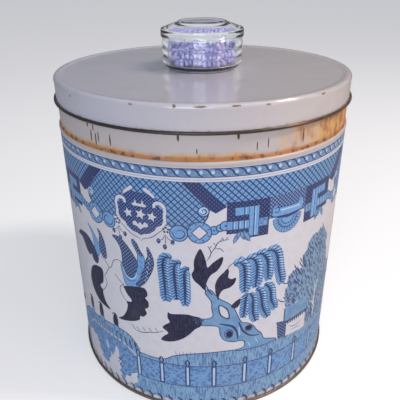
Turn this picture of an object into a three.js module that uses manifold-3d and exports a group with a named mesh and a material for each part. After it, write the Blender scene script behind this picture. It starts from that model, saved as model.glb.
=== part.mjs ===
import * as THREE from 'three';
import { mergeVertices } from 'three/addons/utils/BufferGeometryUtils.js';
import Module from 'manifold-3d';

// A round tinplate cracker canister with a slip-over lid and a glass knob.
// The knob is an upturned jar of drying crystals that vents into the tin
// through a felt disc and a perforated screw cap under the lid.
// Lengths are millimetres, Z points up and the base stands on the plane Z = 0.

// Sheet metal and the clearances between pieces
const tinThickness = 0.3;
const foldGap = 0.12;
const seatGap = 0.25;

// Body: printed wall, recessed neck, bead below the neck and rolled rim
const bodyRadius = 94.9;
const bodyHeight = 206.95;
const neckInset = 0.8;
const neckHeight = 29;
const rimCurlShare = 0.5;
const rimCurlTurnDegrees = 255;
const beadProud = 0.35;
const beadHeight = 3.2;
const beadCrownShares = [0.3, 0.5, 0.7];
const sideSeamWidth = 4;
const sideSeamFold = 0.75;
const sideSeamEndGap = 0.6;

// Base: recessed panel, stiffening ring and the folded double seam
const hookLength = 0.9;
const bodyHookShare = 0.56;
const coverHookShare = 0.31;
const basePanelRecess = 2.6;
const basePanelBend = 0.8;
const baseRingRadius = 78;
const baseRingWidth = 5;
const baseRingRise = 1;
const baseRingCrownShare = 0.5;

// Lid: dished panel, rounded shoulder, skirt and curled hem
const lidClearance = 0.35;
const lidPanelRecess = 0.8;
const lidRimWidth = 3.4;
const lidRimSlopeWidth = 2.4;
const lidShoulderRadius = 2.2;
const lidShoulderProud = 0.2;
const lidSkirtDepth = 15.3;
const hemRadius = 0.95;
const hemTurnDegrees = 270;

// Knob: an upturned pressed-glass jar with grip rings
const knobRadius = 26.5;
const knobHeight = 28;
const knobTopRadius = 14.7;
const knobTopDish = 0.5;
const knobFootShare = 0.57;
const knobFootHeight = 2.2;
const knobFootRoundShares = [[0.45, 0.25], [0.85, 0.7]];
const gripRingCount = 3;
const gripRingPitch = 5.2;
const gripGrooveDepth = 1.3;
const gripRingBulge = 0.75;
const gripRingShares = [0, 0.25, 0.5, 0.75];
const knobWallEase = 1;
const knobShoulderRise = 5.4;
const knobShoulderRound = 1.1;
const glassThickness = 2.4;
const jarFloorRound = 1.5;
const jarNeckRadius = 17.9;
const jarNeckLength = 11;
const jarThreadDepth = 0.7;

// Drying crystals, gasket, felt disc and perforated screw cap
const gasketThickness = 0.8;
const gasketLedgeShare = 0.85;
const crystalRadius = 3.4;
const crystalSpacingShare = 2.05;
const crystalFillShare = 0.75;
const crystalUnevenShare = 0.3;
const feltThickness = 0.9;
const threadClearance = 0.35;
const capBend = 0.9;
const capCurlRadius = 0.85;
const capCurlTurnDegrees = 240;
const fluteCount = 22;
const fluteDepth = 0.45;
const ventHoleRadius = 1.3;
const ventRingCount = 2;
const ventHolesPerRing = 6;
const ventFieldShare = 0.84;
const cutOverrun = 1;

// Fineness of the round shapes
const bodySides = 44;
const knobSides = 36;
const capSides = 2 * fluteCount;
const holeSides = 8;
const seamFootSteps = 5;
const foldSteps = 3;
const curlSteps = 5;
const capCurlSteps = 4;
const shoulderSteps = 3;
const bendSteps = 2;
const weldDistance = 0.0005;

// Radii that follow from the sizes above
const halfSheet = tinThickness / 2;
const rimCurlRadius = lidShoulderRadius * rimCurlShare;
const layerPitch = tinThickness + foldGap;
const bodyMidRadius = bodyRadius - halfSheet;
const neckRadius = bodyRadius - neckInset;
const neckMidRadius = neckRadius - halfSheet;
const chuckMidRadius = bodyMidRadius - layerPitch;
const coverHookMidRadius = bodyMidRadius + layerPitch;
const bodyHookMidRadius = coverHookMidRadius + layerPitch;
const skirtMidRadius = neckRadius + lidClearance + halfSheet;
const shoulderOuterRadius = skirtMidRadius + halfSheet + lidShoulderProud;
const jarBoreRadius = jarNeckRadius - glassThickness;
const jarThreadRadius = jarNeckRadius + jarThreadDepth;
const lidHoleRadius = jarThreadRadius + threadClearance;
const gripGrooveRadius = knobRadius - gripGrooveDepth;
const knobFootRadius = lidHoleRadius + (gripGrooveRadius - lidHoleRadius) * knobFootShare;
const jarHollowRadius = gripGrooveRadius - glassThickness;
const capInnerRadius = jarThreadRadius + threadClearance;
const capMidRadius = capInnerRadius + halfSheet;

// Heights above the floor that follow from the sizes above
const seamFootRadius = 2 * layerPitch + halfSheet;
const seamFootZ = seamFootRadius * Math.cos(Math.PI / (2 * seamFootSteps));
const seamFoldZ = seamFootZ + hookLength;
const seamTopZ = seamFoldZ + layerPitch + halfSheet;
const neckFootZ = bodyHeight - neckHeight;
const beadFootZ = neckFootZ - beadHeight;
const lidTopZ = bodyHeight + seatGap + tinThickness;

// Heights in the lid's own frame, where zero is the top of its rim
const lidPanelTopZ = -lidPanelRecess;
const lidPanelUnderZ = lidPanelTopZ - tinThickness;
const knobSeatZ = lidPanelTopZ + seatGap + gasketThickness + seatGap;

// Heights in the knob's own frame, where zero is the face that sits on the gasket
const jarMouthZ = -jarNeckLength;
const knobShoulderZ = knobHeight - knobShoulderRise;
const jarRoofZ = knobHeight - knobTopDish - glassThickness;
const jarHollowHeight = jarRoofZ - glassThickness;
const crystalTopZ = glassThickness + jarHollowHeight * crystalFillShare;
const feltTopZ = jarMouthZ - seatGap;
const capPlateTopZ = feltTopZ - feltThickness - seatGap;
const capRimZ = lidPanelUnderZ - knobSeatZ - seatGap;

const wasm = await Module();
wasm.setup();

const printedTin = new THREE.MeshStandardMaterial({ color: 0x6f9bcb, roughness: 0.42, metalness: 0.1 });
const whiteEnamel = new THREE.MeshStandardMaterial({ color: 0xd9d7dc, roughness: 0.35, metalness: 0.05 });
const bareTin = new THREE.MeshStandardMaterial({ color: 0x9a948a, roughness: 0.45, metalness: 0.8 });
const seamCompound = new THREE.MeshStandardMaterial({ color: 0x5d5a52, roughness: 0.8, metalness: 0 });
const clearGlass = new THREE.MeshStandardMaterial({
  color: 0xdfe6ea, roughness: 0.05, metalness: 0, transparent: true, opacity: 0.35,
});
const greyRubber = new THREE.MeshStandardMaterial({ color: 0x4a4d55, roughness: 0.75, metalness: 0 });
const lavenderCrystal = new THREE.MeshStandardMaterial({ color: 0x8f8cc9, roughness: 0.4, metalness: 0 });
const whiteFelt = new THREE.MeshStandardMaterial({ color: 0xe6e2d8, roughness: 0.95, metalness: 0 });

// Points of an arc from one angle to another, both in degrees, first and last included.
function arc(centreR, centreZ, radius, fromDegrees, toDegrees, steps) {
  const points = [];
  for (let i = 0; i <= steps; i += 1) {
    const angle = THREE.MathUtils.degToRad(fromDegrees + ((toDegrees - fromDegrees) * i) / steps);
    points.push(at(centreR + radius * Math.cos(angle), centreZ + radius * Math.sin(angle)));
  }
  return points;
}

function at(r, z) {
  return new THREE.Vector2(r, z);
}

// A closed outline round a sheet whose middle follows the path, mitred at its bends.
function sheetOutline(path, thickness) {
  const middle = path.filter((point, i) => i === 0 || point.distanceTo(path[i - 1]) > weldDistance);
  const near = [];
  const far = [];
  for (let i = 0; i < middle.length; i += 1) {
    const before = middle[Math.max(i - 1, 0)];
    const after = middle[Math.min(i + 1, middle.length - 1)];
    const arriving = (i === 0 ? after.clone().sub(middle[i]) : middle[i].clone().sub(before)).normalize();
    const leaving = (after === middle[i] ? arriving.clone() : after.clone().sub(middle[i])).normalize();
    const along = arriving.clone().add(leaving).normalize();
    const reach = thickness / 2 / along.dot(arriving);
    const across = at(-along.y * reach, along.x * reach);
    near.push(middle[i].clone().add(across));
    far.push(middle[i].clone().sub(across));
  }
  return [...near, ...far.reverse()];
}

// Turns an outline of radius and height round the Z axis. The outline closes on itself,
// or starts and ends on the axis, and may run either way round.
function revolve(outline, sides) {
  const area = THREE.ShapeUtils.area(outline);
  const points = area > 0 ? [...outline] : [...outline].reverse();
  const first = points[0];
  const last = points[points.length - 1];
  const endsOnAxis = first.x < weldDistance && last.x < weldDistance;
  if (!endsOnAxis) {
    points.push(first.clone());
  }
  return new THREE.LatheGeometry(points, sides).rotateX(Math.PI / 2);
}

function revolveSheet(path, sides) {
  return revolve(sheetOutline(path, tinThickness), sides);
}

// A flat ring, or a disc where the inner radius is zero.
function washer(innerRadius, outerRadius, bottomZ, topZ, sides) {
  const outline = [
    at(innerRadius, bottomZ),
    at(outerRadius, bottomZ),
    at(outerRadius, topZ),
    at(innerRadius, topZ),
  ];
  return revolve(outline, sides);
}

function toSolid(geometry) {
  const bare = geometry.clone();
  bare.deleteAttribute('normal');
  bare.deleteAttribute('uv');
  const welded = mergeVertices(bare, weldDistance);
  const corners = welded.index.array;
  const kept = [];
  for (let i = 0; i < corners.length; i += 3) {
    const [a, b, c] = [corners[i], corners[i + 1], corners[i + 2]];
    if (a !== b && b !== c && c !== a) {
      kept.push(a, b, c);
    }
  }
  const vertProperties = new Float32Array(welded.attributes.position.array);
  return new wasm.Manifold(new wasm.Mesh({ numProp: 3, vertProperties, triVerts: new Uint32Array(kept) }));
}

function toGeometry(solid) {
  const { vertProperties, triVerts } = solid.getMesh();
  const geometry = new THREE.BufferGeometry();
  geometry.setAttribute('position', new THREE.BufferAttribute(vertProperties, 3));
  geometry.setIndex(new THREE.BufferAttribute(triVerts, 1));
  geometry.computeVertexNormals();
  return geometry;
}

function namedMesh(name, geometry, material) {
  const mesh = new THREE.Mesh(geometry, material);
  mesh.name = name;
  return mesh;
}

// The wall is one rolled sheet: body hook in the base seam, printed wall, bead, neck, rim curl.
function bodyWallGeometry() {
  const hookTopZ = seamFootZ + hookLength * bodyHookShare;
  const curlMidRadius = rimCurlRadius - halfSheet;
  const curlCentreZ = bodyHeight - rimCurlRadius;
  const beadCrown = beadCrownShares.map((share) => {
    const swell = Math.sin(Math.PI * share);
    return at(bodyMidRadius + beadProud * swell, beadFootZ + beadHeight * share);
  });
  const path = [
    at(bodyHookMidRadius, hookTopZ),
    ...arc(coverHookMidRadius, seamFootZ, layerPitch, 360, 180, foldSteps),
    at(bodyMidRadius, beadFootZ),
    ...beadCrown,
    at(neckMidRadius, neckFootZ),
    ...arc(neckMidRadius - curlMidRadius, curlCentreZ, curlMidRadius, 0, rimCurlTurnDegrees, curlSteps),
  ];
  const wall = toSolid(revolveSheet(path, bodySides));
  return toGeometry(wall.add(toSolid(sideSeamGeometry())));
}

// The folded side seam stands on the inside of the wall, at the back.
function sideSeamGeometry() {
  const bottomZ = seamTopZ + sideSeamEndGap;
  const topZ = bodyHeight - 2 * rimCurlRadius - sideSeamEndGap;
  const wallFaceRadius = bodyMidRadius - halfSheet - sideSeamFold;
  const neckFaceRadius = neckMidRadius - halfSheet - sideSeamFold;
  const outline = new THREE.Shape([
    at(wallFaceRadius, bottomZ),
    at(bodyMidRadius, bottomZ),
    at(bodyMidRadius, beadFootZ),
    at(neckMidRadius, neckFootZ),
    at(neckMidRadius, topZ),
    at(neckFaceRadius, topZ),
    at(neckFaceRadius, neckFootZ),
    at(wallFaceRadius, beadFootZ),
  ]);
  const strip = new THREE.ExtrudeGeometry(outline, { depth: sideSeamWidth, bevelEnabled: false });
  strip.translate(0, 0, -sideSeamWidth / 2);
  return strip.rotateX(Math.PI / 2).rotateZ(Math.PI / 2);
}

// The end is stamped from one disc and folded round the body hook in five layers.
function baseEndGeometry() {
  const panelZ = basePanelRecess + halfSheet;
  const ringFlank = (baseRingWidth * (1 - baseRingCrownShare)) / 2;
  const path = [
    at(0, panelZ),
    at(baseRingRadius - baseRingWidth / 2, panelZ),
    at(baseRingRadius - baseRingWidth / 2 + ringFlank, panelZ + baseRingRise),
    at(baseRingRadius + baseRingWidth / 2 - ringFlank, panelZ + baseRingRise),
    at(baseRingRadius + baseRingWidth / 2, panelZ),
    ...arc(chuckMidRadius - basePanelBend, panelZ - basePanelBend, basePanelBend, 90, 0, bendSteps),
    ...arc(coverHookMidRadius, seamFootZ, 2 * layerPitch, 180, 360, seamFootSteps),
    ...arc(bodyHookMidRadius, seamFoldZ, layerPitch, 0, 180, foldSteps),
    at(coverHookMidRadius, seamFootZ + hookLength * coverHookShare),
  ];
  return revolveSheet(path, bodySides);
}

// A ring of sealing compound fills the fold above the body hook.
function seamSealGeometry() {
  const bottomZ = seamFootZ + hookLength * bodyHookShare + foldGap;
  return washer(bodyHookMidRadius - halfSheet, bodyHookMidRadius + halfSheet, bottomZ, seamFoldZ, bodySides);
}

function lidShellGeometry() {
  const topZ = -halfSheet;
  const panelZ = lidPanelTopZ - halfSheet;
  const shoulderMid = lidShoulderRadius - halfSheet;
  const shoulderCentreRadius = shoulderOuterRadius - lidShoulderRadius;
  const rimInnerRadius = shoulderOuterRadius - lidRimWidth;
  const hemMid = hemRadius - halfSheet;
  const hemCentreZ = hemRadius - lidSkirtDepth;
  const path = [
    at(lidHoleRadius, panelZ),
    at(rimInnerRadius - lidRimSlopeWidth, panelZ),
    at(rimInnerRadius, topZ),
    ...arc(shoulderCentreRadius, -lidShoulderRadius, shoulderMid, 90, 0, shoulderSteps),
    at(skirtMidRadius, -lidShoulderRadius - lidShoulderRadius / 2),
    ...arc(skirtMidRadius + hemMid, hemCentreZ, hemMid, 180, 180 + hemTurnDegrees, curlSteps),
  ];
  return revolveSheet(path, bodySides);
}

function gasketGeometry() {
  const outerRadius = lidHoleRadius + (knobFootRadius - lidHoleRadius) * gasketLedgeShare;
  return washer(jarNeckRadius + seatGap, outerRadius, -seatGap - gasketThickness, -seatGap, knobSides);
}

// The jar's outline runs from the roof of its hollow down through the bore,
// then up the outside over the foot, the grip rings and the shoulder to the top.
function knobShellGeometry() {
  const inside = [
    at(0, jarRoofZ),
    at(knobTopRadius, jarRoofZ),
    at(jarHollowRadius, knobShoulderZ - glassThickness / 2),
    at(jarHollowRadius, glassThickness + jarFloorRound),
    at(jarHollowRadius - jarFloorRound, glassThickness),
    at(jarBoreRadius, glassThickness),
    at(jarBoreRadius, jarMouthZ),
  ];
  const foot = knobFootRoundShares.map(([outShare, upShare]) => {
    const out = (gripGrooveRadius - knobFootRadius) * outShare;
    return at(knobFootRadius + out, knobFootHeight * upShare);
  });
  const rings = [];
  for (let ring = 0; ring < gripRingCount; ring += 1) {
    for (const share of gripRingShares) {
      const z = knobFootHeight + (ring + share) * gripRingPitch;
      rings.push(at(gripGrooveRadius + gripRingBulge * Math.sin(Math.PI * share), z));
    }
  }
  const ringsTopZ = knobFootHeight + gripRingCount * gripRingPitch;
  const outside = [
    at(jarNeckRadius, jarMouthZ),
    at(jarNeckRadius, 0),
    at(knobFootRadius, 0),
    ...foot,
    ...rings,
    at(gripGrooveRadius, ringsTopZ),
    at(knobRadius, ringsTopZ + knobWallEase),
    at(knobRadius, knobShoulderZ),
    at(knobRadius - knobShoulderRound, knobShoulderZ + knobShoulderRound),
    at(knobTopRadius + knobTopDish, knobHeight - knobTopDish),
    at(knobTopRadius, knobHeight),
    at(knobTopRadius - knobTopDish, knobHeight - knobTopDish),
    at(0, knobHeight - knobTopDish),
  ];
  return revolve([...inside, ...outside], knobSides);
}

// The bed of crystals fills the neck and most of the hollow. Single crystals stand
// out of its side and its top, clear of each other and half sunk in the bed.
function crystalBedGeometry() {
  const coreRadius = jarHollowRadius - seatGap - crystalRadius;
  const neckCoreRadius = jarBoreRadius - seatGap;
  const floorZ = glassThickness + seatGap;
  const coreTopZ = crystalTopZ - crystalRadius;
  const core = [
    at(0, jarMouthZ),
    at(neckCoreRadius, jarMouthZ),
    at(neckCoreRadius, floorZ),
    at(Math.max(coreRadius, neckCoreRadius), floorZ + crystalRadius),
    at(coreRadius, coreTopZ),
    at(0, coreTopZ),
  ];
  let bed = toSolid(revolve(core, knobSides));
  for (const place of crystalPlaces(coreRadius, floorZ + crystalRadius, coreTopZ)) {
    bed = bed.add(crystalAt(place));
  }
  return toGeometry(bed);
}

function crystalPlaces(coreRadius, lowZ, highZ) {
  const spacing = crystalRadius * crystalSpacingShare;
  const places = [];
  const rows = Math.max(2, Math.floor((highZ - lowZ) / spacing) + 1);
  for (let row = 0; row < rows; row += 1) {
    const z = lowZ + ((highZ - lowZ) * row) / (rows - 1);
    ringOfPlaces(places, coreRadius, z, spacing, row);
  }
  for (let radius = coreRadius - spacing; radius > spacing; radius -= spacing) {
    const sink = crystalRadius * crystalUnevenShare * Math.abs(Math.sin(radius));
    ringOfPlaces(places, radius, highZ - sink, spacing, places.length);
  }
  places.push(new THREE.Vector3(0, 0, highZ));
  return places;
}

function ringOfPlaces(places, radius, z, spacing, stagger) {
  const count = Math.floor(Math.PI / Math.asin(spacing / 2 / radius));
  for (let i = 0; i < count; i += 1) {
    const angle = (2 * Math.PI * (i + (stagger % 2) / 2)) / count;
    places.push(new THREE.Vector3(radius * Math.cos(angle), radius * Math.sin(angle), z));
  }
}

// One broken crystal, turned by an amount that follows from its place.
function crystalAt(place) {
  const crystal = new THREE.IcosahedronGeometry(crystalRadius, 0);
  crystal.rotateX(Math.atan2(place.y, place.x) * 3);
  crystal.rotateZ((place.z / crystalRadius) * 2);
  crystal.translate(place.x, place.y, place.z);
  return toSolid(crystal);
}

function feltDiscGeometry() {
  return washer(0, capInnerRadius - seatGap, feltTopZ - feltThickness, feltTopZ, knobSides);
}

// The cap is a shallow stamping: perforated plate, fluted skirt and a rim curled outwards.
function ventCapGeometry() {
  const plateZ = capPlateTopZ - halfSheet;
  const curlMid = capCurlRadius - halfSheet;
  const curlCentreZ = capRimZ - capCurlRadius;
  const path = [
    at(0, plateZ),
    ...arc(capMidRadius - capBend, plateZ + capBend, capBend, -90, 0, bendSteps),
    at(capMidRadius, plateZ + capBend + fluteDepth),
    at(capMidRadius, curlCentreZ - fluteDepth),
    ...arc(capMidRadius + curlMid, curlCentreZ, curlMid, 180, 180 - capCurlTurnDegrees, capCurlSteps),
  ];
  const shell = revolveSheet(path, capSides);
  fluteSkirt(shell, plateZ + capBend, curlCentreZ - fluteDepth / 2);
  let cap = toSolid(shell);
  const holeLength = tinThickness + 2 * cutOverrun;
  for (const place of ventHolePlaces()) {
    const hole = new THREE.CylinderGeometry(ventHoleRadius, ventHoleRadius, holeLength, holeSides);
    hole.rotateX(Math.PI / 2);
    hole.translate(place.x, place.y, plateZ);
    cap = cap.subtract(toSolid(hole));
  }
  return toGeometry(cap);
}

// Pushes every second line of the skirt outwards, which leaves the ridges of the grip.
function fluteSkirt(shell, bottomZ, topZ) {
  const position = shell.attributes.position;
  for (let i = 0; i < position.count; i += 1) {
    const z = position.getZ(i);
    const radius = Math.hypot(position.getX(i), position.getY(i));
    const onSkirt = z > bottomZ && z < topZ && radius > capInnerRadius - weldDistance;
    const line = Math.round((Math.atan2(position.getY(i), position.getX(i)) / (2 * Math.PI)) * capSides);
    if (onSkirt && line % 2 === 0) {
      const stretch = (radius + fluteDepth) / radius;
      position.setXY(i, position.getX(i) * stretch, position.getY(i) * stretch);
    }
  }
}

function ventHolePlaces() {
  const fieldRadius = jarBoreRadius * ventFieldShare;
  const places = [at(0, 0)];
  for (let ring = 1; ring <= ventRingCount; ring += 1) {
    const count = ventHolesPerRing * ring;
    const radius = (fieldRadius * ring) / ventRingCount;
    for (let i = 0; i < count; i += 1) {
      const angle = (2 * Math.PI * i) / count;
      places.push(at(radius * Math.cos(angle), radius * Math.sin(angle)));
    }
  }
  return places;
}

// The tin itself
const canister = new THREE.Group();
canister.add(namedMesh('body_wall', bodyWallGeometry(), printedTin));
canister.add(namedMesh('base_end', baseEndGeometry(), bareTin));
canister.add(namedMesh('base_seam_seal', seamSealGeometry(), seamCompound));

// The screw cap and the felt disc that it carries
const ventCap = new THREE.Group();
ventCap.add(namedMesh('felt_disc', feltDiscGeometry(), whiteFelt));
ventCap.add(namedMesh('vent_cap', ventCapGeometry(), bareTin));

// The knob with its filling, in the frame of the face that sits on the gasket
const knob = new THREE.Group();
knob.position.z = knobSeatZ;
knob.add(namedMesh('knob_gasket', gasketGeometry(), greyRubber));
knob.add(namedMesh('knob_shell', knobShellGeometry(), clearGlass));
knob.add(namedMesh('desiccant_crystals', crystalBedGeometry(), lavenderCrystal));
knob.add(ventCap);

// The lid, in the frame of the top of its rim
const lid = new THREE.Group();
lid.position.z = lidTopZ;
lid.add(namedMesh('lid_shell', lidShellGeometry(), whiteEnamel));
lid.add(knob);

const group = new THREE.Group();
group.add(canister);
group.add(lid);

export default group;
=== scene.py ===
"""A printed tin cracker canister with a slip-over lid and a glass knob full of drying crystals.

Sizes in the classes are millimetres and colours are written as 0 to 255 screen values. The
finished meshes are in metres, with Z up and the front towards -Y.
"""

import functools
import logging
import math
import operator
import random
from dataclasses import dataclass
from enum import Enum
from typing import Callable, Sequence

import bpy
import numpy as np
from bpy.types import Material, Node, NodeSocket, NodeTree, Object
from mathutils import Euler, Matrix, Vector
from mathutils.geometry import delaunay_2d_cdt


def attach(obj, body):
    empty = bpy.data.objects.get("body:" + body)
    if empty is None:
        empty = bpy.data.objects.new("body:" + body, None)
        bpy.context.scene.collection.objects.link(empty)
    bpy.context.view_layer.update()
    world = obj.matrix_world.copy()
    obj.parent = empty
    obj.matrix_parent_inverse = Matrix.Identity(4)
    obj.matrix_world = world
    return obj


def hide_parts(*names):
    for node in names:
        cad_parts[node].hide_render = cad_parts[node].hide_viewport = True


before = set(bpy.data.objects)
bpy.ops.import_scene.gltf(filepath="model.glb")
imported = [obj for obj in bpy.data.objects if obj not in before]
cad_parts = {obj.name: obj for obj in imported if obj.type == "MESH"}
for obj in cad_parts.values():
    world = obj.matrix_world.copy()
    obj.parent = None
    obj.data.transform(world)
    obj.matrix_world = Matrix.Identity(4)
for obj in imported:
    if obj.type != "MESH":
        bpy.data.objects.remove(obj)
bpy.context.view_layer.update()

LOG = logging.getLogger("canister")
MM = 0.001
WALL_RADIUS = 94.9
SHEET = 0.3
WELD = 0.002

Point = tuple[float, float]
Outline = list[Point]
Tone = tuple[float, float, float]


def paint(tone: Tone) -> tuple[float, float, float, float]:
    """Turns a screen colour into the linear colour that a shader takes.

    Args:
        tone: Red, green and blue from 0 to 255.

    Returns:
        The linear colour with full alpha.
    """
    linear = [((v / 255 + 0.055) / 1.055) ** 2.4 if v > 10 else v / 255 / 12.92 for v in tone]
    return (*linear, 1.0)


def arc(centre: Point, radius: float, start: float, end: float, steps: int) -> Outline:
    """Gives the points of an arc.

    Args:
        centre: The arc's centre.
        radius: The arc's radius.
        start: The first angle in degrees.
        end: The last angle in degrees.
        steps: How many straight pieces the arc has.

    Returns:
        The points, first and last included.
    """
    turns = [math.radians(start + (end - start) * i / steps) for i in range(steps + 1)]
    return [(centre[0] + radius * math.cos(t), centre[1] + radius * math.sin(t)) for t in turns]


def listed(*points: Point | str) -> Outline:
    """Reads points that may be written as text, such as "1.5,-2 3,-4".

    Args:
        *points: Points and runs of points.

    Returns:
        All the points.
    """
    run: Outline = []
    for item in points:
        if isinstance(item, str):
            run += [tuple(float(part) for part in point.split(",")) for point in item.split()]
        else:
            run.append(item)
    return run


def corner(radius: float, height: float, steps: str) -> Outline:
    """Gives points that are written as steps from a place, such as "-0.3,0 0,0.3"."""
    return [(radius + out, height + up) for out, up in listed(steps)]


def deselect() -> None:
    """Takes every object out of the selection."""
    for other in bpy.context.selected_objects:
        other.select_set(False)


def only(piece: Object) -> None:
    """Makes one object the only selected one and the active one.

    Args:
        piece: The object to work on.
    """
    deselect()
    piece.select_set(True)
    bpy.context.view_layer.objects.active = piece


def merge_doubles() -> None:
    """Joins the points that meet and turns the faces out, in edit mode."""
    bpy.ops.mesh.select_all(action="SELECT")
    bpy.ops.mesh.remove_doubles(threshold=WELD * MM)
    bpy.ops.mesh.select_all(action="SELECT")
    bpy.ops.mesh.normals_make_consistent(inside=False)
    bpy.ops.object.mode_set(mode="OBJECT")


def select_vertices(piece: Object, chosen: Callable[[Vector], bool]) -> None:
    """Selects the vertices that pass a test and goes into edit mode.

    Args:
        piece: The mesh object to work on.
        chosen: Says for a place in millimetres whether its vertex is selected.
    """
    only(piece)
    bpy.ops.object.mode_set(mode="EDIT")
    bpy.ops.mesh.select_mode(type="VERT")
    bpy.ops.mesh.select_all(action="DESELECT")
    bpy.ops.object.mode_set(mode="OBJECT")
    for vertex in piece.data.vertices:
        vertex.select = chosen(vertex.co / MM)
    bpy.ops.object.mode_set(mode="EDIT")


def turned(name: str, path: Outline, steps: int, closed: bool = False) -> Object:
    """Turns a path round the tin's axis.

    Args:
        name: The new object's name.
        path: Radius and height of each point.
        steps: How many flats the full turn has.
        closed: True where the path comes back to its first point.

    Returns:
        The turned mesh object, with its faces pointing out.
    """
    run = path + path[:1] if closed else path
    deselect()
    bpy.ops.mesh.primitive_plane_add(size=2 * MM, location=(0, 0, 0))
    piece = bpy.context.active_object
    piece.name = name
    piece.data.name = name
    bpy.ops.object.mode_set(mode="EDIT")
    bpy.ops.mesh.merge(type="CENTER")
    bpy.ops.transform.translate(value=(run[0][0] * MM, 0, run[0][1] * MM))
    for here, there in zip(run, run[1:]):
        step = ((there[0] - here[0]) * MM, 0, (there[1] - here[1]) * MM)
        bpy.ops.mesh.extrude_vertices_move(TRANSFORM_OT_translate={"value": step})
    bpy.ops.mesh.select_all(action="SELECT")
    bpy.ops.mesh.spin(steps=steps, angle=2 * math.pi, center=(0, 0, 0), axis=(0, 0, 1))
    merge_doubles()
    return piece


def apply_modifier(piece: Object, kind: str, **settings: object) -> None:
    """Adds a modifier and applies it.

    Args:
        piece: The mesh object that gets it.
        kind: Blender's name of the modifier type.
        **settings: The modifier's values.
    """
    only(piece)
    modifier = piece.modifiers.new(kind.lower(), kind)
    for name, value in settings.items():
        setattr(modifier, name, value)
    bpy.ops.object.modifier_apply(modifier=modifier.name)


def thicken(piece: Object, outside: Material, inside: Material) -> None:
    """Gives a turned sheet the tinplate's thickness and a finish on each of its sides.

    Args:
        piece: The sheet, as a surface through the middle of the metal.
        outside: The finish of the side that the faces point to.
        inside: The finish of the other side.
    """
    piece.data.materials.append(outside)
    piece.data.materials.append(inside)
    values = {"thickness": SHEET * MM, "offset": 0.0, "use_even_offset": True, "material_offset": 1}
    apply_modifier(piece, "SOLIDIFY", **values)


def finished(piece: Object, angle: float, *materials: Material) -> None:
    """Gives a piece its smooth shading, and its materials if it has none yet.

    Args:
        piece: The finished mesh object.
        angle: The sharpest bend in degrees that is still shaded smooth.
        *materials: The material of each slot.
    """
    for material in materials:
        piece.data.materials.append(material)
    only(piece)
    bpy.ops.object.shade_smooth_by_angle(angle=math.radians(angle))


def seat(piece: Object, body: str, node: str) -> None:
    """Hands a piece to the frame and reports it.

    Args:
        piece: The finished piece.
        body: The moving body that it belongs to.
        node: The node that it stands for.
    """
    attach(piece, body)
    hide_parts(node)
    LOG.info("%s: %d faces on %s", piece.name, len(piece.data.polygons), body)


class Value:
    """What a node puts out, so that it can be calculated with as a number can."""

    def __init__(self, nodes: "Tree", socket: NodeSocket) -> None:
        """Keeps the output and the tree that it is in."""
        self.nodes = nodes
        self.socket = socket

    def __add__(self, other: object) -> "Value":
        """The sum of two values."""
        return self.nodes.math("ADD", self, other)

    def __sub__(self, other: object) -> "Value":
        """This value less another."""
        return self.nodes.math("SUBTRACT", self, other)

    def __rsub__(self, other: float) -> "Value":
        """A number less this value."""
        return self.nodes.math("SUBTRACT", other, self)

    def __mul__(self, other: object) -> "Value":
        """The product of two values."""
        return self.nodes.math("MULTIPLY", self, other)

    def __truediv__(self, other: object) -> "Value":
        """This value divided by another."""
        return self.nodes.math("DIVIDE", self, other)

    def __rtruediv__(self, other: float) -> "Value":
        """A number divided by this value."""
        return self.nodes.math("DIVIDE", other, self)

    def __or__(self, other: object) -> "Value":
        """The stronger of two masks."""
        return self.nodes.math("MAXIMUM", self, other)


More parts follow.
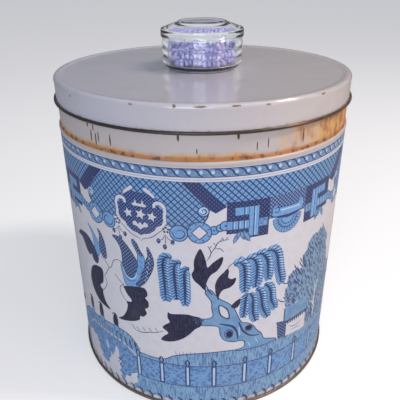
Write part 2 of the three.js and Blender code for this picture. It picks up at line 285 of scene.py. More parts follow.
class Tree:
    """Short-hand for adding and joining the nodes of one material or group."""

    def __init__(self, tree: NodeTree) -> None:
        """Keeps the tree that gets the nodes."""
        self.tree = tree

    def new(self, kind: str, inputs: dict | None = None, **settings: object) -> Node:
        """Adds a node.

        Args:
            kind: The node's type without its "ShaderNode".
            inputs: Its inputs by number or name.
            **settings: The node's own properties.

        Returns:
            The new node.
        """
        node = self.tree.nodes.new(kind if kind.startswith("Node") else "ShaderNode" + kind)
        for name, value in settings.items():
            setattr(node, name, value)
        for key, value in (inputs or {}).items():
            self.feed(node.inputs[key], value)
        return node

    def feed(self, socket: NodeSocket, value: object) -> None:
        """Links an input to what another node puts out, or sets it to a constant.

        Args:
            socket: The input.
            value: A value or an output to link from, a number or a screen colour.
        """
        source = value.socket if isinstance(value, Value) else value
        if isinstance(source, NodeSocket):
            self.tree.links.new(source, socket)
        else:
            socket.default_value = paint(source) if isinstance(source, tuple) else source

    def math(self, operation: str, *values: object) -> Value:
        """Adds a Math node with its inputs and gives the result."""
        return Value(self, self.new("Math", dict(enumerate(values)), operation=operation).outputs[0])

    def mix(self, share: object, first: object, second: object) -> Value:
        """Mixes two colours, where the share says how much of the second one shows."""
        return Value(self, self.new("Mix", {0: share, 6: first, 7: second}, data_type="RGBA").outputs[2])

    def fade(self, value: object, low: object, high: object) -> Value:
        """Turns a value into a soft mask, which is 0 at the low limit and 1 at the high one."""
        inputs = dict(enumerate((value, low, high, 0.0, 1.0)))
        return Value(self, self.new("MapRange", inputs, interpolation_type="SMOOTHSTEP").outputs[0])

    def noise(self, place: object, size: object, detail: object = 2.0) -> Value:
        """Adds noise about 0.5 on average, with blotches of a size in millimetres."""
        inputs = {"Vector": place, "Scale": 1 / size, "Detail": detail}
        return Value(self, self.new("TexNoise", inputs).outputs[0])

    def bump(self, height: object, depth: float, normal: Value | None = None) -> Value:
        """Turns a height from 0 to 1 into a normal.

        Args:
            height: The height.
            depth: What a height of 1 stands for, in millimetres.
            normal: A normal to start from.

        Returns:
            The bumped normal.
        """
        node = self.new("Bump", {"Strength": 1.0, "Distance": depth * MM, "Height": height})
        if normal:
            self.feed(node.inputs["Normal"], normal)
        return Value(self, node.outputs[0])

    def parts(self, vector: Value) -> list[Value]:
        """Takes a vector apart into its three numbers."""
        return [Value(self, socket) for socket in self.new("SeparateXYZ", {0: vector}).outputs]

    def effect(self, build: Callable[[], NodeTree], *values: object) -> list[Value]:
        """Places a shared effect.

        Args:
            build: The effect.
            *values: Its inputs in order.

        Returns:
            Its outputs in order.
        """
        node = self.new("Group", node_tree=build())
        for socket, value in zip(node.inputs, values):
            self.feed(socket, value)
        return [Value(self, socket) for socket in node.outputs]

    def mask(self, build: Callable[[], NodeTree], *values: object) -> Value:
        """Places a shared effect that puts out one mask."""
        return self.effect(build, *values)[0]


def shared(name: str, inputs: Sequence[str], outputs: Sequence[str]) -> Callable:
    """Makes a node group, built once, of a function that takes its inputs and gives its outputs.

    Args:
        name: The group's name.
        inputs: The names of its inputs.
        outputs: The names of its outputs.

    Returns:
        What turns the function into one that gives the group.
    """
    kinds = {"Colour": "NodeSocketColor", "Place": "NodeSocketVector", "Normal": "NodeSocketVector"}

    def decorate(fill: Callable[..., Sequence[Value]]) -> Callable[[], NodeTree]:
        """Turns the function that fills the group into one that gives it."""

        @functools.cache
        def build() -> NodeTree:
            """Builds the group at the first call.

            Returns:
                The group.
            """
            tree = bpy.data.node_groups.new(name, "ShaderNodeTree")
            for way, labels in (("INPUT", inputs), ("OUTPUT", outputs)):
                for label in labels:
                    kind = kinds.get(label, "NodeSocketFloat")
                    tree.interface.new_socket(label, in_out=way, socket_type=kind)
            nodes = Tree(tree)
            given = [Value(nodes, socket) for _, socket in zip(inputs, nodes.new("NodeGroupInput").outputs)]
            nodes.new("NodeGroupOutput", dict(enumerate(fill(nodes, *given))))
            return tree

        return build

    return decorate


@shared("place on tin", [], ["Around", "Across", "Height", "Radius", "Place"])
def place_on_tin(nodes: Tree) -> list[Value]:
    """The place on the tin in millimetres.

    Args:
        nodes: The group's nodes.

    Returns:
        The way round the wall, the way to the right, the height, the radius and the place.
    """
    coordinate = nodes.new("TexCoord").outputs["Object"]
    scaled = nodes.new("VectorMath", operation="SCALE")
    nodes.feed(scaled.inputs[0], coordinate)
    nodes.feed(scaled.inputs["Scale"], 1 / MM)
    place = Value(nodes, scaled.outputs[0])
    x, y, z = nodes.parts(place)
    around = nodes.math("ARCTAN2", x, y * -1.0) * WALL_RADIUS
    return [around, x, z, nodes.math("SQRT", x * x + y * y), place]


@shared("ragged spot", ["At Around", "At Height", "Half Width", "Half Height", "Ragged"], ["Mask"])
def ragged_spot(
    nodes: Tree, at_around: Value, at_height: Value, half_width: Value, half_height: Value, ragged: Value
) -> list[Value]:
    """A ragged spot at one place round the tin and one height.

    Args:
        nodes: The group's nodes.
        at_around: Where its middle is, round the tin from the front.
        at_height: How high its middle is.
        half_width: Half its width.
        half_height: Half its height.
        ragged: How uneven its edge is.

    Returns:
        The spot's mask.
    """
    around, _, height, _, place = nodes.effect(place_on_tin)
    across = (around - at_around) / half_width
    up = (height - at_height) / half_height
    reach = nodes.math("SQRT", across * across + up * up)
    uneven = (nodes.noise(place, 1.3, 3.0) - 0.5) * ragged
    return [1.0 - nodes.fade(reach + uneven, 0.75, 1.1)]


@shared("runs", ["Width", "Length"], ["Runs"])
def runs(nodes: Tree, width: Value, length: Value) -> list[Value]:
    """Stains that run down: noise that is narrow round the tin and long in height.

    Args:
        nodes: The group's nodes.
        width: The width of a run.
        length: The length of a run.

    Returns:
        The noise.
    """
    x, y, z = nodes.parts(nodes.effect(place_on_tin)[4])
    joined = nodes.new("CombineXYZ", {0: x / width, 1: y / width, 2: z / length})
    return [nodes.noise(joined.outputs[0], 1.0, 3.0)]


@shared("patches", ["Size", "Detail", "Low", "High", "Share"], ["Mask"])
def patches(nodes: Tree, size: Value, detail: Value, low: Value, high: Value, share: Value) -> list[Value]:
    """Uneven patches, such as dirt, dust or rubbed specks.

    Args:
        nodes: The group's nodes.
        size: How wide a patch is.
        detail: How fine its edge is.
        low: The noise at which a patch begins.
        high: The noise from which it is at its full strength.
        share: Its full strength.

    Returns:
        The patches' mask.
    """
    noise = nodes.noise(nodes.effect(place_on_tin)[4], size, detail)
    return [nodes.fade(noise, low, high) * share]


@shared("ruled lines", ["Value", "Pitch", "Share"], ["Mask"])
def ruled(nodes: Tree, value: Value, pitch: Value, share: Value) -> list[Value]:
    """Evenly spaced lines across a value.

    Args:
        nodes: The group's nodes.
        value: The value that the lines divide, in millimetres.
        pitch: The distance between two lines.
        share: How much of the pitch a line covers.

    Returns:
        The lines' mask.
    """
    half = pitch * 0.5
    edge = half * share
    return [1.0 - nodes.fade(nodes.math("PINGPONG", value, half), edge * 0.7, edge * 1.3)]


@shared("varnish", ["Colour"], ["Colour", "Roughness", "Normal"])
def varnish(nodes: Tree, colour: Value) -> list[Value]:
    """The varnish over a print: faint dirt, rubbed specks, a rubbed foot and a soft gloss.

    Args:
        nodes: The group's nodes.
        colour: The print's colour.

    Returns:
        The colour, the roughness and the normal.
    """
    dirt, bare, rubbed = (150, 140, 140), (214, 210, 214), (140, 124, 112)
    _, _, height, _, place = nodes.effect(place_on_tin)
    colour = nodes.mix(nodes.mask(patches, 34.0, 4.0, 0.48, 0.78, 0.1), colour, dirt)
    colour = nodes.mix(nodes.mask(patches, 1.5, 2.0, 0.74, 0.79, 0.5), colour, bare)
    foot = 1.0 - nodes.fade(height, 2.2, 7.0)
    worn = foot * nodes.fade(nodes.mask(runs, 4.0, 4.0), 0.4, 0.62)
    colour = nodes.mix(worn * 0.6, colour, rubbed)
    normal = nodes.bump(nodes.noise(place, 60.0, 1.0), 0.8)
    normal = nodes.bump(nodes.noise(place, 1.2, 2.0), 0.012, normal)
    return [colour, nodes.noise(place, 16.0, 3.0) * 0.2 + 0.32, normal]


class Dressing:
    """One material under construction: its nodes, its place on the tin and its shader."""

    def __init__(self, name: str) -> None:
        """Starts a material.

        Args:
            name: The material's name.
        """
        self.material = bpy.data.materials.new(name)
        self.material.use_nodes = True
        self.nodes = Tree(self.material.node_tree)
        self.shader = self.material.node_tree.nodes["Principled BSDF"]
        self.around, self.across, self.height, self.radius, self.place = self.nodes.effect(place_on_tin)

    def done(self, colour: object, rough: object, normal: Value, **more: object) -> Material:
        """Sets the shader.

        Args:
            colour: The surface's colour.
            rough: Its roughness.
            normal: Its normal.
            **more: The shader's other inputs by name, with _ for a space.

        Returns:
            The material.
        """
        for name, value in {"Base_Color": colour, "Roughness": rough, "Normal": normal, **more}.items():
            self.nodes.feed(self.shader.inputs[name.replace("_", " ")], value)
        return self.material


@dataclass(frozen=True)
class Enamel:
    """Off-white baked enamel on the lid, chipped and dirty at its edges, with painted light that turns it
    cool on the left and warm on the right.
    """

    # white and warm are painted light: the enamel's tone where its left side is lit cool and where its right
    # side is lit warm.
    white: Tone = (182, 182, 194)
    warm: Tone = (188, 180, 179)
    dirt: Tone = (152, 146, 150)
    chip: Tone = (118, 104, 86)
    rust: Tone = (150, 106, 70)
    roughness: float = 0.18
    ragged: float = 1.2

    def material(self) -> Material:
        """Builds the lid's outer finish.

        Returns:
            The material.
        """
        look = Dressing("lid_enamel")
        nodes = look.nodes
        # Painted light: the enamel runs from a cool tone on the left to a warm one on the right, as the lamps
        # fall on it.
        colour = nodes.mix(nodes.fade(look.across, -90.0, 96.0), self.white, self.warm)
        cloudy = nodes.noise(look.place, 28.0, 4.0)
        colour = nodes.mix(nodes.fade(cloudy, 0.54, 0.74) * 0.22, colour, self.dirt)
        skirt = 1.0 - nodes.fade(look.height, 200.0, 206.0)
        grime = nodes.fade(nodes.mask(runs, 2.2, 14.0), 0.62, 0.74) * skirt
        colour = nodes.mix(grime * 0.15, colour, self.dirt)
        low = 1.0 - nodes.fade(look.height, 193.4, 195.4)
        stain = low * nodes.fade(nodes.mask(runs, 3.0, 5.0), 0.52, 0.7)
        colour = nodes.mix(stain * 0.75, colour, self.rust)
        chips = self._chips(look)
        colour = nodes.mix(chips, colour, self.chip)
        rough = cloudy * 0.22 + (self.roughness - 0.08)
        normal = nodes.bump(nodes.noise(look.place, 46.0, 1.0), 0.8)
        normal = nodes.bump(nodes.noise(look.place, 1.6, 2.0), 0.012, normal)
        normal = nodes.bump(1.0 - chips, 0.12, normal)
        return look.done(colour, rough | chips, normal, Coat_Weight=0.5, Coat_Roughness=0.07)

    def _chips(self, look: Dressing) -> Value:
        """Marks where the enamel is gone.

        Args:
            look: The material under construction.

        Returns:
            The mask of the chips.
        """
        nodes = look.nodes
        places = listed(
            "-13.9,206.4,0.9,0.8 -0.7,206.3,3.4,0.55 16.5,206.4,2.6,0.45 -83,203.6,0.8,0.8",
            "33,205.9,1.6,0.45 -37,206.1,1.4,0.4 70,206.3,2.2,0.5 -150,206.4,2.6,0.7",
            "190,206.4,3.2,0.8 255,201,1.2,1.6",
        )
        spots = [nodes.mask(ragged_spot, *place, self.ragged) for place in places]
        edge_band = nodes.fade(look.height, 205.6, 206.3) * nodes.fade(look.radius, 92.6, 93.6)
        specks = nodes.mask(patches, 1.7, 2.0, 0.7, 0.74, 1.0) * edge_band
        low = 1.0 - nodes.fade(look.height, 193.2, 194.6)
        worn = nodes.fade(nodes.mask(runs, 2.6, 3.0), 0.6, 0.66) * low
        whole = functools.reduce(operator.or_, spots + [specks, worn])
        return whole * nodes.fade(look.radius, 91.6, 92.2)


@dataclass(frozen=True)
class WornTin:
    """Bare or lacquered tinplate, darkened where hands and shelves have rubbed it; where a height is given,
    the sheet below it is painted dark, rusted bare metal with painted shade.
    """

    name: str
    metal: Tone = (196, 194, 188)
    worn: Tone = (120, 112, 100)
    rust: Tone = (132, 92, 58)
    roughness: float = 0.32
    metallic: float = 0.9
    worn_share: float = 0.35
    rust_share: float = 0.15
    # shade_and_rust_below, dark and brown: below this height the sheet's inner side is painted dark, bare
    # rusted metal deepened by painted shade, browner with rust towards the right.
    shade_and_rust_below: float = 0.0
    dark: Tone = (60, 54, 51)
    brown: Tone = (112, 76, 46)

    def material(self) -> Material:
        """Builds the metal's finish.

        Returns:
            The material.
        """
        look = Dressing(self.name)
        nodes = look.nodes
        cloudy = nodes.noise(look.place, 9.0, 4.0)
        worn = nodes.fade(cloudy, 0.42, 0.66) * self.worn_share
        colour = nodes.mix(worn, self.metal, self.worn)
        strong = min(1.0, self.rust_share * 3)
        rusty = nodes.mask(patches, 4.2, 5.0, 0.6 - 0.2 * self.rust_share, 0.68, strong)
        colour = nodes.mix(rusty, colour, self.rust)
        metallic = rusty * -self.metallic + self.metallic
        # Painted shade with bare rusted metal: below the given height the colour turns dark, browner with
        # rust towards the right.
        if self.shade_and_rust_below > 0:
            low = 1.0 - nodes.fade(look.height, self.shade_and_rust_below - 0.2, self.shade_and_rust_below + 0.2)
            warm = nodes.fade(look.across * 0.0022 + nodes.mask(runs, 9.0, 20.0), 0.5, 0.8)
            dark = nodes.mix(warm, self.dark, self.brown)
            dark = nodes.mix(nodes.mask(patches, 1.8, 3.0, 0.6, 0.74, 0.1), dark, self.metal)
            colour = nodes.mix(low, colour, dark)
            metallic = metallic * (1.0 - low * 0.55)
        rough = cloudy * 0.25 + (self.roughness - 0.1)
        normal = nodes.bump(nodes.noise(look.place, 0.8, 2.0), 0.02)
        normal = nodes.bump(nodes.noise(look.place, 20.0, 1.0), 0.25, normal)
        return look.done(colour, rough | rusty * 0.8, normal, Metallic=metallic)


@dataclass(frozen=True)
class PressedGlass:
    """Clear pressed glass with the slight unevenness of the mould."""

    tint: Tone = (243, 246, 247)
    shadow_tint: Tone = (226, 231, 236)
    roughness: float = 0.02
    index: float = 1.5

    def material(self) -> Material:
        """Builds the glass, which lets the lamps through to what lies inside it.

        Returns:
            The material.
        """
        look = Dressing("knob_glass")
        nodes = look.nodes
        wavy = nodes.bump(nodes.noise(look.place, 7.0, 2.0), 0.08)
        look.done(self.tint, self.roughness, wavy, IOR=self.index, Transmission_Weight=1.0)
        clear = nodes.new("BsdfTransparent", {"Color": self.shadow_tint}).outputs[0]
        ray = nodes.new("LightPath").outputs["Is Shadow Ray"]
        both = nodes.new("MixShader", {0: ray, 1: look.shader.outputs[0], 2: clear})
        nodes.feed(nodes.tree.nodes["Material Output"].inputs["Surface"], both.outputs[0])
        return look.material


@dataclass(frozen=True)
class Granules:
    """Lavender drying crystals: dull, chalky, each a little different."""

    name: str = "drying_crystals"
    blue: Tone = (136, 138, 186)
    violet: Tone = (164, 152, 196)
    pale: Tone = (206, 206, 222)
    pale_share: float = 0.6
    grain: float = 2.6
    roughness: float = 0.5

    def material(self) -> Material:
        """Builds the crystals' finish.

        Returns:
            The material.
        """
        look = Dressing(self.name)
        nodes = look.nodes
        mixed = nodes.mask(patches, self.grain, 1.0, 0.38, 0.62, 1.0)
        colour = nodes.mix(mixed, self.blue, self.violet)
        dusty = nodes.mask(patches, self.grain * 0.6, 3.0, 0.5, 0.72, self.pale_share)
        colour = nodes.mix(dusty, colour, self.pale)
        rough_skin = nodes.bump(nodes.noise(look.place, self.grain * 0.2, 3.0), 0.12)
        return look.done(colour, self.roughness, rough_skin)


@dataclass(frozen=True)
class Soft:
    """A dull soft material: rubber, sealing compound or pressed felt."""

    name: str
    tone: Tone
    other: Tone
    grain: float
    depth: float
    roughness: float = 0.85

    def material(self) -> Material:
        """Builds the finish.

        Returns:
            The material.
        """
        look = Dressing(self.name)
        nodes = look.nodes
        grain = nodes.noise(look.place, self.grain, 4.0)
        colour = nodes.mix(nodes.fade(grain, 0.35, 0.65), self.tone, self.other)
        return look.done(colour, self.roughness, nodes.bump(grain, self.depth))


class Pattern(Enum):
    """How the fine lines in an ink run."""

    PLAIN = "plain"
    LATTICE = "lattice"
    CROSSED = "crossed"
    UPRIGHT = "upright"
    STIPPLED = "stippled"


@dataclass(frozen=True)
class InkFinish:
    """One printed colour under the varnish, with the fine lines drawn in it."""

    base: Tone
    line: Tone
    pattern: Pattern = Pattern.PLAIN
    pitch: float = 3.0
    share: float = 0.3

    def material(self, name: str) -> Material:
        """Builds the ink's finish.

        Args:
            name: The ink's name.

        Returns:
            The material.
        """
        look = Dressing("print_" + name)
        colour = look.nodes.mix(self._lines(look), self.base, self.line)
        return look.done(*look.nodes.effect(varnish, colour), Specular_IOR_Level=0.35)

    def _lines(self, look: Dressing) -> Value:
        """The mask of the ink's fine lines.

        Args:
            look: The material under construction.

        Returns:
            The mask, or faint clouds where the ink is plain.
        """
        nodes = look.nodes
        if self.pattern is Pattern.PLAIN:
            return nodes.mask(patches, 5.0, 3.0, 0.4, 0.7, 1.0)
        if self.pattern is Pattern.UPRIGHT:
            return nodes.fade(nodes.mask(runs, self.pitch, self.pitch * 5), 0.47, 0.6) * self.share
        if self.pattern is Pattern.STIPPLED:
            return nodes.mask(patches, self.pitch, 2.0, 0.45, 0.6, self.share)
        falling = (look.around + look.height) * math.sqrt(0.5)
        rising = (look.around - look.height) * math.sqrt(0.5)
        strong = nodes.mask(ruled, falling, self.pitch, self.share)
        if self.pattern is Pattern.CROSSED:
            return strong | nodes.mask(ruled, rising, self.pitch, self.share)
        weak = nodes.mask(ruled, rising, self.pitch, self.share * 0.9) * 0.85
        middle = 1.0 - nodes.mask(ruled, falling, self.pitch, 0.62)
        dashes = nodes.mask(ruled, rising, self.pitch / 2, 0.3) * middle
        return strong | weak | dashes * 0.6


class Ink(Enum):
    """The inks of the willow pattern."""

    GROUND = InkFinish((203, 202, 209), (198, 197, 205))
    SKY = InkFinish((112, 158, 206), (90, 134, 188), Pattern.STIPPLED, 1.6, 0.5)
    TRUNK = InkFinish((114, 152, 188), (98, 136, 178))
    FROND = InkFinish((120, 164, 206), (92, 138, 188), Pattern.STIPPLED, 1.8, 0.75)
    PALE = InkFinish((172, 198, 224), (156, 186, 218))
    LINE = InkFinish((46, 62, 106), (40, 54, 94))
    NAVY = InkFinish((112, 136, 176), (32, 44, 88), Pattern.CROSSED, 1.7, 0.42)
    DEEP = InkFinish((38, 66, 122), (30, 50, 100))
    BLACK = InkFinish((26, 26, 54), (58, 60, 98), Pattern.UPRIGHT, 0.8, 0.45)
    SLATE = InkFinish((70, 90, 130), (34, 42, 78), Pattern.CROSSED, 1.7, 0.55)
    ROPE = InkFinish((112, 142, 178), (82, 110, 152), Pattern.STIPPLED, 1.4, 0.6)
    LATTICE = InkFinish((120, 162, 204), (36, 64, 118), Pattern.LATTICE, 2.7, 0.32)
    SCALES = InkFinish((124, 152, 192), (44, 60, 112), Pattern.CROSSED, 1.6, 0.4)
    CHEVRON = InkFinish((74, 92, 142), (34, 44, 88), Pattern.CROSSED, 1.7, 0.5)
    FRET = InkFinish((76, 94, 142), (36, 44, 88), Pattern.CROSSED, 1.8, 0.5)
    MEDALLION = InkFinish((104, 134, 182), (34, 46, 98), Pattern.CROSSED, 1.5, 0.5)
    MEADOW = InkFinish((124, 160, 194), (66, 100, 148), Pattern.UPRIGHT, 0.9, 0.75)
    SHADE = InkFinish((112, 150, 194), (62, 96, 150), Pattern.STIPPLED, 2.0, 0.75)
    FOLIAGE = InkFinish((124, 154, 184), (92, 122, 158), Pattern.STIPPLED, 2.4, 0.75)


def rounded(points: Outline, closed: bool, steps: int) -> Outline:
    """Draws a smooth curve through points.

    Args:
        points: The points that the curve passes.
        closed: True where it comes back to the first.
        steps: How many straight pieces lie between two points.

    Returns:
        The curve's points.
    """
    count = len(points)
    curve: Outline = []
    for i in range(count if closed else count - 1):
        if closed:
            near = [points[(i + k) % count] for k in (-1, 0, 1, 2)]
        else:
            near = [points[min(max(i + k, 0), count - 1)] for k in (-1, 0, 1, 2)]
        for t in (s / steps for s in range(steps)):
            weights = (
                -t + 2 * t**2 - t**3,
                2 - 5 * t**2 + 3 * t**3,
                t + 4 * t**2 - 3 * t**3,
                -(t**2) + t**3,
            )
            curve.append(tuple(sum(w * p[axis] for w, p in zip(weights, near)) / 2 for axis in (0, 1)))
    return curve if closed else curve + [points[-1]]


def beside(run: Outline, offsets: Sequence[float], closed: bool) -> Outline:
    """Moves each point of a run to its left.

    Args:
        run: The points.
        offsets: How far each one moves.
        closed: True where the run comes back to its first point.

    Returns:
        The moved points.
    """
    moved: Outline = []
    last = len(run) - 1
    for i, (u, z) in enumerate(run):
        before = run[i - 1] if closed or i else run[0]
        after = run[(i + 1) % len(run)] if closed or i < last else run[last]
        across, up = after[0] - before[0], after[1] - before[1]
        length = math.hypot(across, up) or 1.0
        moved.append((u - up / length * offsets[i], z + across / length * offsets[i]))
    return moved


def evenly(run: Outline, count: int) -> Outline:
    """Spaces points evenly along a run.

    Args:
        run: The run.
        count: How many steps to give it.

    Returns:
        The evenly spaced points.
    """
    steps = [0.0]
    for a, b in zip(run, run[1:]):
        steps.append(steps[-1] + math.dist(a, b))
    marks = np.linspace(0.0, steps[-1], count + 1)
    us, zs = (np.interp(marks, steps, [p[axis] for p in run]).tolist() for axis in (0, 1))
    return list(zip(us, zs))


class Motif:
    """Inked outlines of one part of the print, each drawn over the ones before it.

    Outlines are in millimetres: along the wall to the right, and up from the lid's top.
    """

    def __init__(self) -> None:
        """Starts empty and draws what the motif shows."""
        self.shapes: list[tuple[Ink, Outline]] = []
        self.draw()

    def draw(self) -> None:
        """Draws nothing, for a motif that is drawn from outside."""

    def plate(self, ink: Ink, *points: Point | str) -> None:
        """Draws a straight-sided shape."""
        self.shapes.append((ink, listed(*points)))

    def box(self, ink: Ink, left: float, right: float, top: float, bottom: float) -> None:
        """Draws a rectangle."""
        self.plate(ink, (left, top), (right, top), (right, bottom), (left, bottom))

    def leaf(self, ink: Ink, *points: Point | str, rim: float = 0.0, steps: int = 3) -> None:
        """Draws a shape with curved sides.

        Args:
            ink: Its ink.
            *points: Places that its outline passes.
            rim: How far a dark edge stands out round it.
            steps: How fine its curves are.
        """
        outline = rounded(listed(*points), True, steps)
        if rim:
            turn = sum(a[0] * b[1] - b[0] * a[1] for a, b in zip(outline, outline[1:] + outline[:1]))
            out = -rim if turn > 0 else rim
            self.shapes.append((Ink.LINE, beside(outline, [out] * len(outline), True)))
        self.shapes.append((ink, outline))

    def line(
        self, width: float, *points: Point | str, tip: float = 0.4, steps: int = 3, ink: Ink = Ink.LINE
    ) -> None:
        """Draws a stroke that is thinner at its ends.

        Args:
            width: Its width in the middle.
            *points: Places that it passes.
            tip: Its width at the ends, as a share.
            steps: How fine its curve is.
            ink: Its ink.
        """
        run = rounded(listed(*points), False, steps)
        last = len(run) - 1
        half = [width / 2 * (tip + (1 - tip) * math.sin(math.pi * i / last)) for i in range(last + 1)]
        right = beside(run, [-h for h in half], False)
        self.shapes.append((ink, beside(run, half, False) + right[::-1]))

    def dot(self, ink: Ink, u: float, z: float, radius: float, sides: int = 12, tall: float = 1.0) -> None:
        """Draws a round spot, or an oval one where tall isn't 1."""
        ring = arc((0.0, 0.0), radius, 0, 360, sides)[:-1]
        self.shapes.append((ink, [(u + a, z + b * tall) for a, b in ring]))

    def disc(
        self, ink: Ink, u: float, z: float, outer: float, inner: float, sides: int = 12, tall: float = 1.0
    ) -> None:
        """Draws a spot of one radius in a dark one of another."""
        self.dot(Ink.LINE, u, z, outer, sides, tall)
        self.dot(ink, u, z, inner, sides, tall)

    def star(self, ink: Ink, u: float, z: float, radius: float, points: int = 5) -> None:
        """Draws a small star with blunt points.

        Args:
            ink: Its ink.
            u: Where its middle is along the wall.
            z: How high its middle is.
            radius: How far its points reach.
            points: How many points it has.
        """
        ring = arc((0.0, 0.0), radius, 76, 436, 2 * points)[:-1]
        reach = [0.45 if i % 2 else 1 for i in range(2 * points)]
        self.leaf(ink, *((u + a * r, z + b * r) for (a, b), r in zip(ring, reach)), steps=2)

    def add(self, other: "Motif", shift: float = 0.0, mirror: bool = False) -> None:
        """Places a copy of another motif.

        Args:
            other: The motif to copy.
            shift: How far its middle moves to the right.
            mirror: True to turn it left for right first.
        """
        side = -1 if mirror else 1
        for ink, outline in other.shapes:
            self.shapes.append((ink, [(shift + side * u, z) for u, z in outline]))

    def plume(self, spine: str, left: float, right: float, barb: float = 1.9) -> None:
        """Draws a hanging willow frond: a pale streak, dark barbs past its edges and a dark spine.

        Args:
            spine: The spine from its top down.
            left: How wide the frond is to the left of the spine, as seen.
            right: How wide it is to the right.
            barb: The distance between two barbs.
        """
        coarse = rounded(listed(spine), False, 4)
        length = sum(math.dist(a, b) for a, b in zip(coarse, coarse[1:]))
        count = max(6, round(length / barb))
        run = evenly(coarse, count)
        ends = [min(1.0, 0.55 + 0.25 * (count - i)) for i in range(count + 1)]
        wide = [right * min(1.0, 0.4 + 0.3 * i) * end for i, end in enumerate(ends)]
        narrow = [-left * min(1.0, 0.4 + 0.3 * i) * end for i, end in enumerate(ends)]
        east, west = beside(run, wide, False), beside(run, narrow, False)
        self.shapes.append((Ink.FROND, east + west[::-1]))
        streak = beside(run, [0.62 * w for w in wide], False)
        self.line(right * 0.36, *streak[1 : count - 1 : 2], tip=0.2, steps=2, ink=Ink.PALE)
        for edge in (east, west):
            for i in range(count):
                (u, z), (out_u, out_z), (next_u, next_z) = run[i], edge[i], edge[i + 1]
                tip = (1.12 * next_u - 0.12 * run[i + 1][0], 1.12 * next_z - 0.12 * run[i + 1][1] - 0.5)
                low = (0.22 * out_u + 0.78 * next_u, 0.22 * out_z + 0.78 * next_z - 0.2)
                self.plate(Ink.DEEP, (u, z + 0.5), low, tip, (u, z - 0.5))
        self.line(1.7, *run[::2], tip=0.5, steps=1)


class BorderHalf(Motif):
    """The border from a medallion's middle to the next fan's middle."""

    def draw(self) -> None:
        """Draws the ground, the discs and the fret."""
        self.plate(Ink.LATTICE, "0,-41 25,-41 39.5,-57 38.5,-61.5 36,-66 28,-70 22,-69 16,-68 0,-68")
        self.plate(Ink.CHEVRON, "25,-41 33.5,-41 48.4,-56 42.8,-59.4 40,-57.5")
        self.plate(Ink.LATTICE, "33.5,-41 86.51,-41 86.51,-60 73.6,-60 73.6,-53 49,-53 48.4,-56")
        self.box(Ink.SCALES, 73.6, 86.51, -53, -66)
        self.line(0.7, "25,-41 32,-48.7 39.5,-57 38.5,-61.5 36,-66", tip=1.0, steps=1)
        self.line(0.7, "33.5,-41 41,-48.5 48.6,-56", tip=1.0, steps=1)
        self.disc(Ink.PALE, 36.3, -58, 3.3, 2.7)
        self.line(0.7, "34.2,-58.6 35.6,-60 37.6,-59 37.4,-56.9 35.8,-57 35.9,-58.3")
        for u, radius in ((42.0, 2.7), (45.4, 2.3), (48.2, 3.0)):
            z = -69.8 + (u - 42) * 0.4
            self.disc(Ink.SKY, u, z, radius + 0.3, radius - 0.3)
            self.dot(Ink.LINE, u, z, 0.6, 8)
        self.disc(Ink.SKY, 22.5, -72, 5.4, 4.8, 18)
        self.line(0.7, "18.6,-71 20.4,-74.6 23.6,-75.2 26,-72.4 24.2,-69.8 21.6,-70.8")
        self.disc(Ink.SKY, 34, -71.2, 7.0, 6.4, 20)
        self.plate(Ink.LINE, "34,-66.4 38.8,-71.2 34,-76 29.2,-71.2")
        self.plate(Ink.GROUND, "34,-67.2 38,-71.2 34,-75.2 30,-71.2")
        for inner, outer in zip(*(arc((34, -71.2), radius, 22, 337, 7) for radius in (4.6, 6.3))):
            self.line(0.5, inner, outer, tip=0.8)
        self._fret()

    def _fret(self) -> None:
        """Draws the key-fret block with its blossom below."""
        self.box(Ink.FRET, 48.8, 61.4, -53, -72.8)
        self.box(Ink.FRET, 61.4, 73.6, -53, -76.4)
        plates = listed("53.6,61.6,-56.8,-61.5 61.6,67.2,-56.8,-75.2 49.2,61.6,-65,-70 67.6,72.8,-65,-70")
        for ink, (left, right, top, bottom) in zip([Ink.SKY] * 3 + [Ink.SHADE], plates):
            self.box(Ink.LINE, left - 0.3, right + 0.3, top + 0.3, bottom - 0.3)
            self.box(ink, left, right, top, bottom)
        bars = "52.4,-65,-70 55.6,-65,-70 58.8,-56.8,-61.5 58.8,-65,-70 64.4,-56.8,-75.2"
        for u, top, bottom in listed(bars):
            self.box(Ink.LINE, u - 0.3, u + 0.3, top, bottom)
            self.box(Ink.PALE, u + 0.5, u + 1.0, top - 0.4, bottom + 0.4)
        for petal in (
            "56.6,-71.8 55.8,-75.4 53,-79 53.6,-75",
            "57,-71.8 59.2,-73.8 59.6,-77.2 57.4,-75.2",
            "58.4,-71.6 61.4,-74 62.4,-78.6 59.8,-76.2",
        ):
            self.leaf(Ink.SHADE, petal, rim=0.4, steps=2)


class Fan(Motif):
    """The scalloped fan between two frets."""

    def draw(self) -> None:
        """Draws the fan over its bar."""
        for u, z in arc((0, -68), 9.2, 185.625, 354.375, 15):
            self.dot(Ink.DEEP, u, z, 1.35, 8)
            self.dot(Ink.SKY, u, z, 1.0, 8)
        self.dot(Ink.SKY, 0, -68, 9.2, 28)
        for inner, outer in zip(*(arc((0, -68), radius, 186, 354, 12) for radius in (5.6, 8.9))):
            self.line(0.55, inner, outer, tip=0.8, steps=1)
        for radius in (6.9, 4.6):
            self.line(0.6, *arc((0, -68), radius, 185, 355, 12), tip=1.0, steps=1)
        self.plate(Ink.LINE, "-10,-66 10,-66 7,-67.6 0,-68.6 -7,-67.6")
        self.box(Ink.SCALES, -12.9, 12.9, -57, -66.8)
        bar = "-10.4,-60.4 -8,-59 -6.2,-61.2 6.8,-61.2 7.6,-58.6 10,-58.4 10.2,-65.6 -9,-66.2 -10.8,-63.6"
        self.leaf(Ink.SKY, bar, rim=0.5, steps=2)
        self.box(Ink.PALE, -5.6, 8.8, -62.4, -63.4)
        self.line(0.6, "-9.6,-61.2 -7.4,-60.6 -6.4,-62.6 -8,-64 -9,-62.8", tip=0.8)


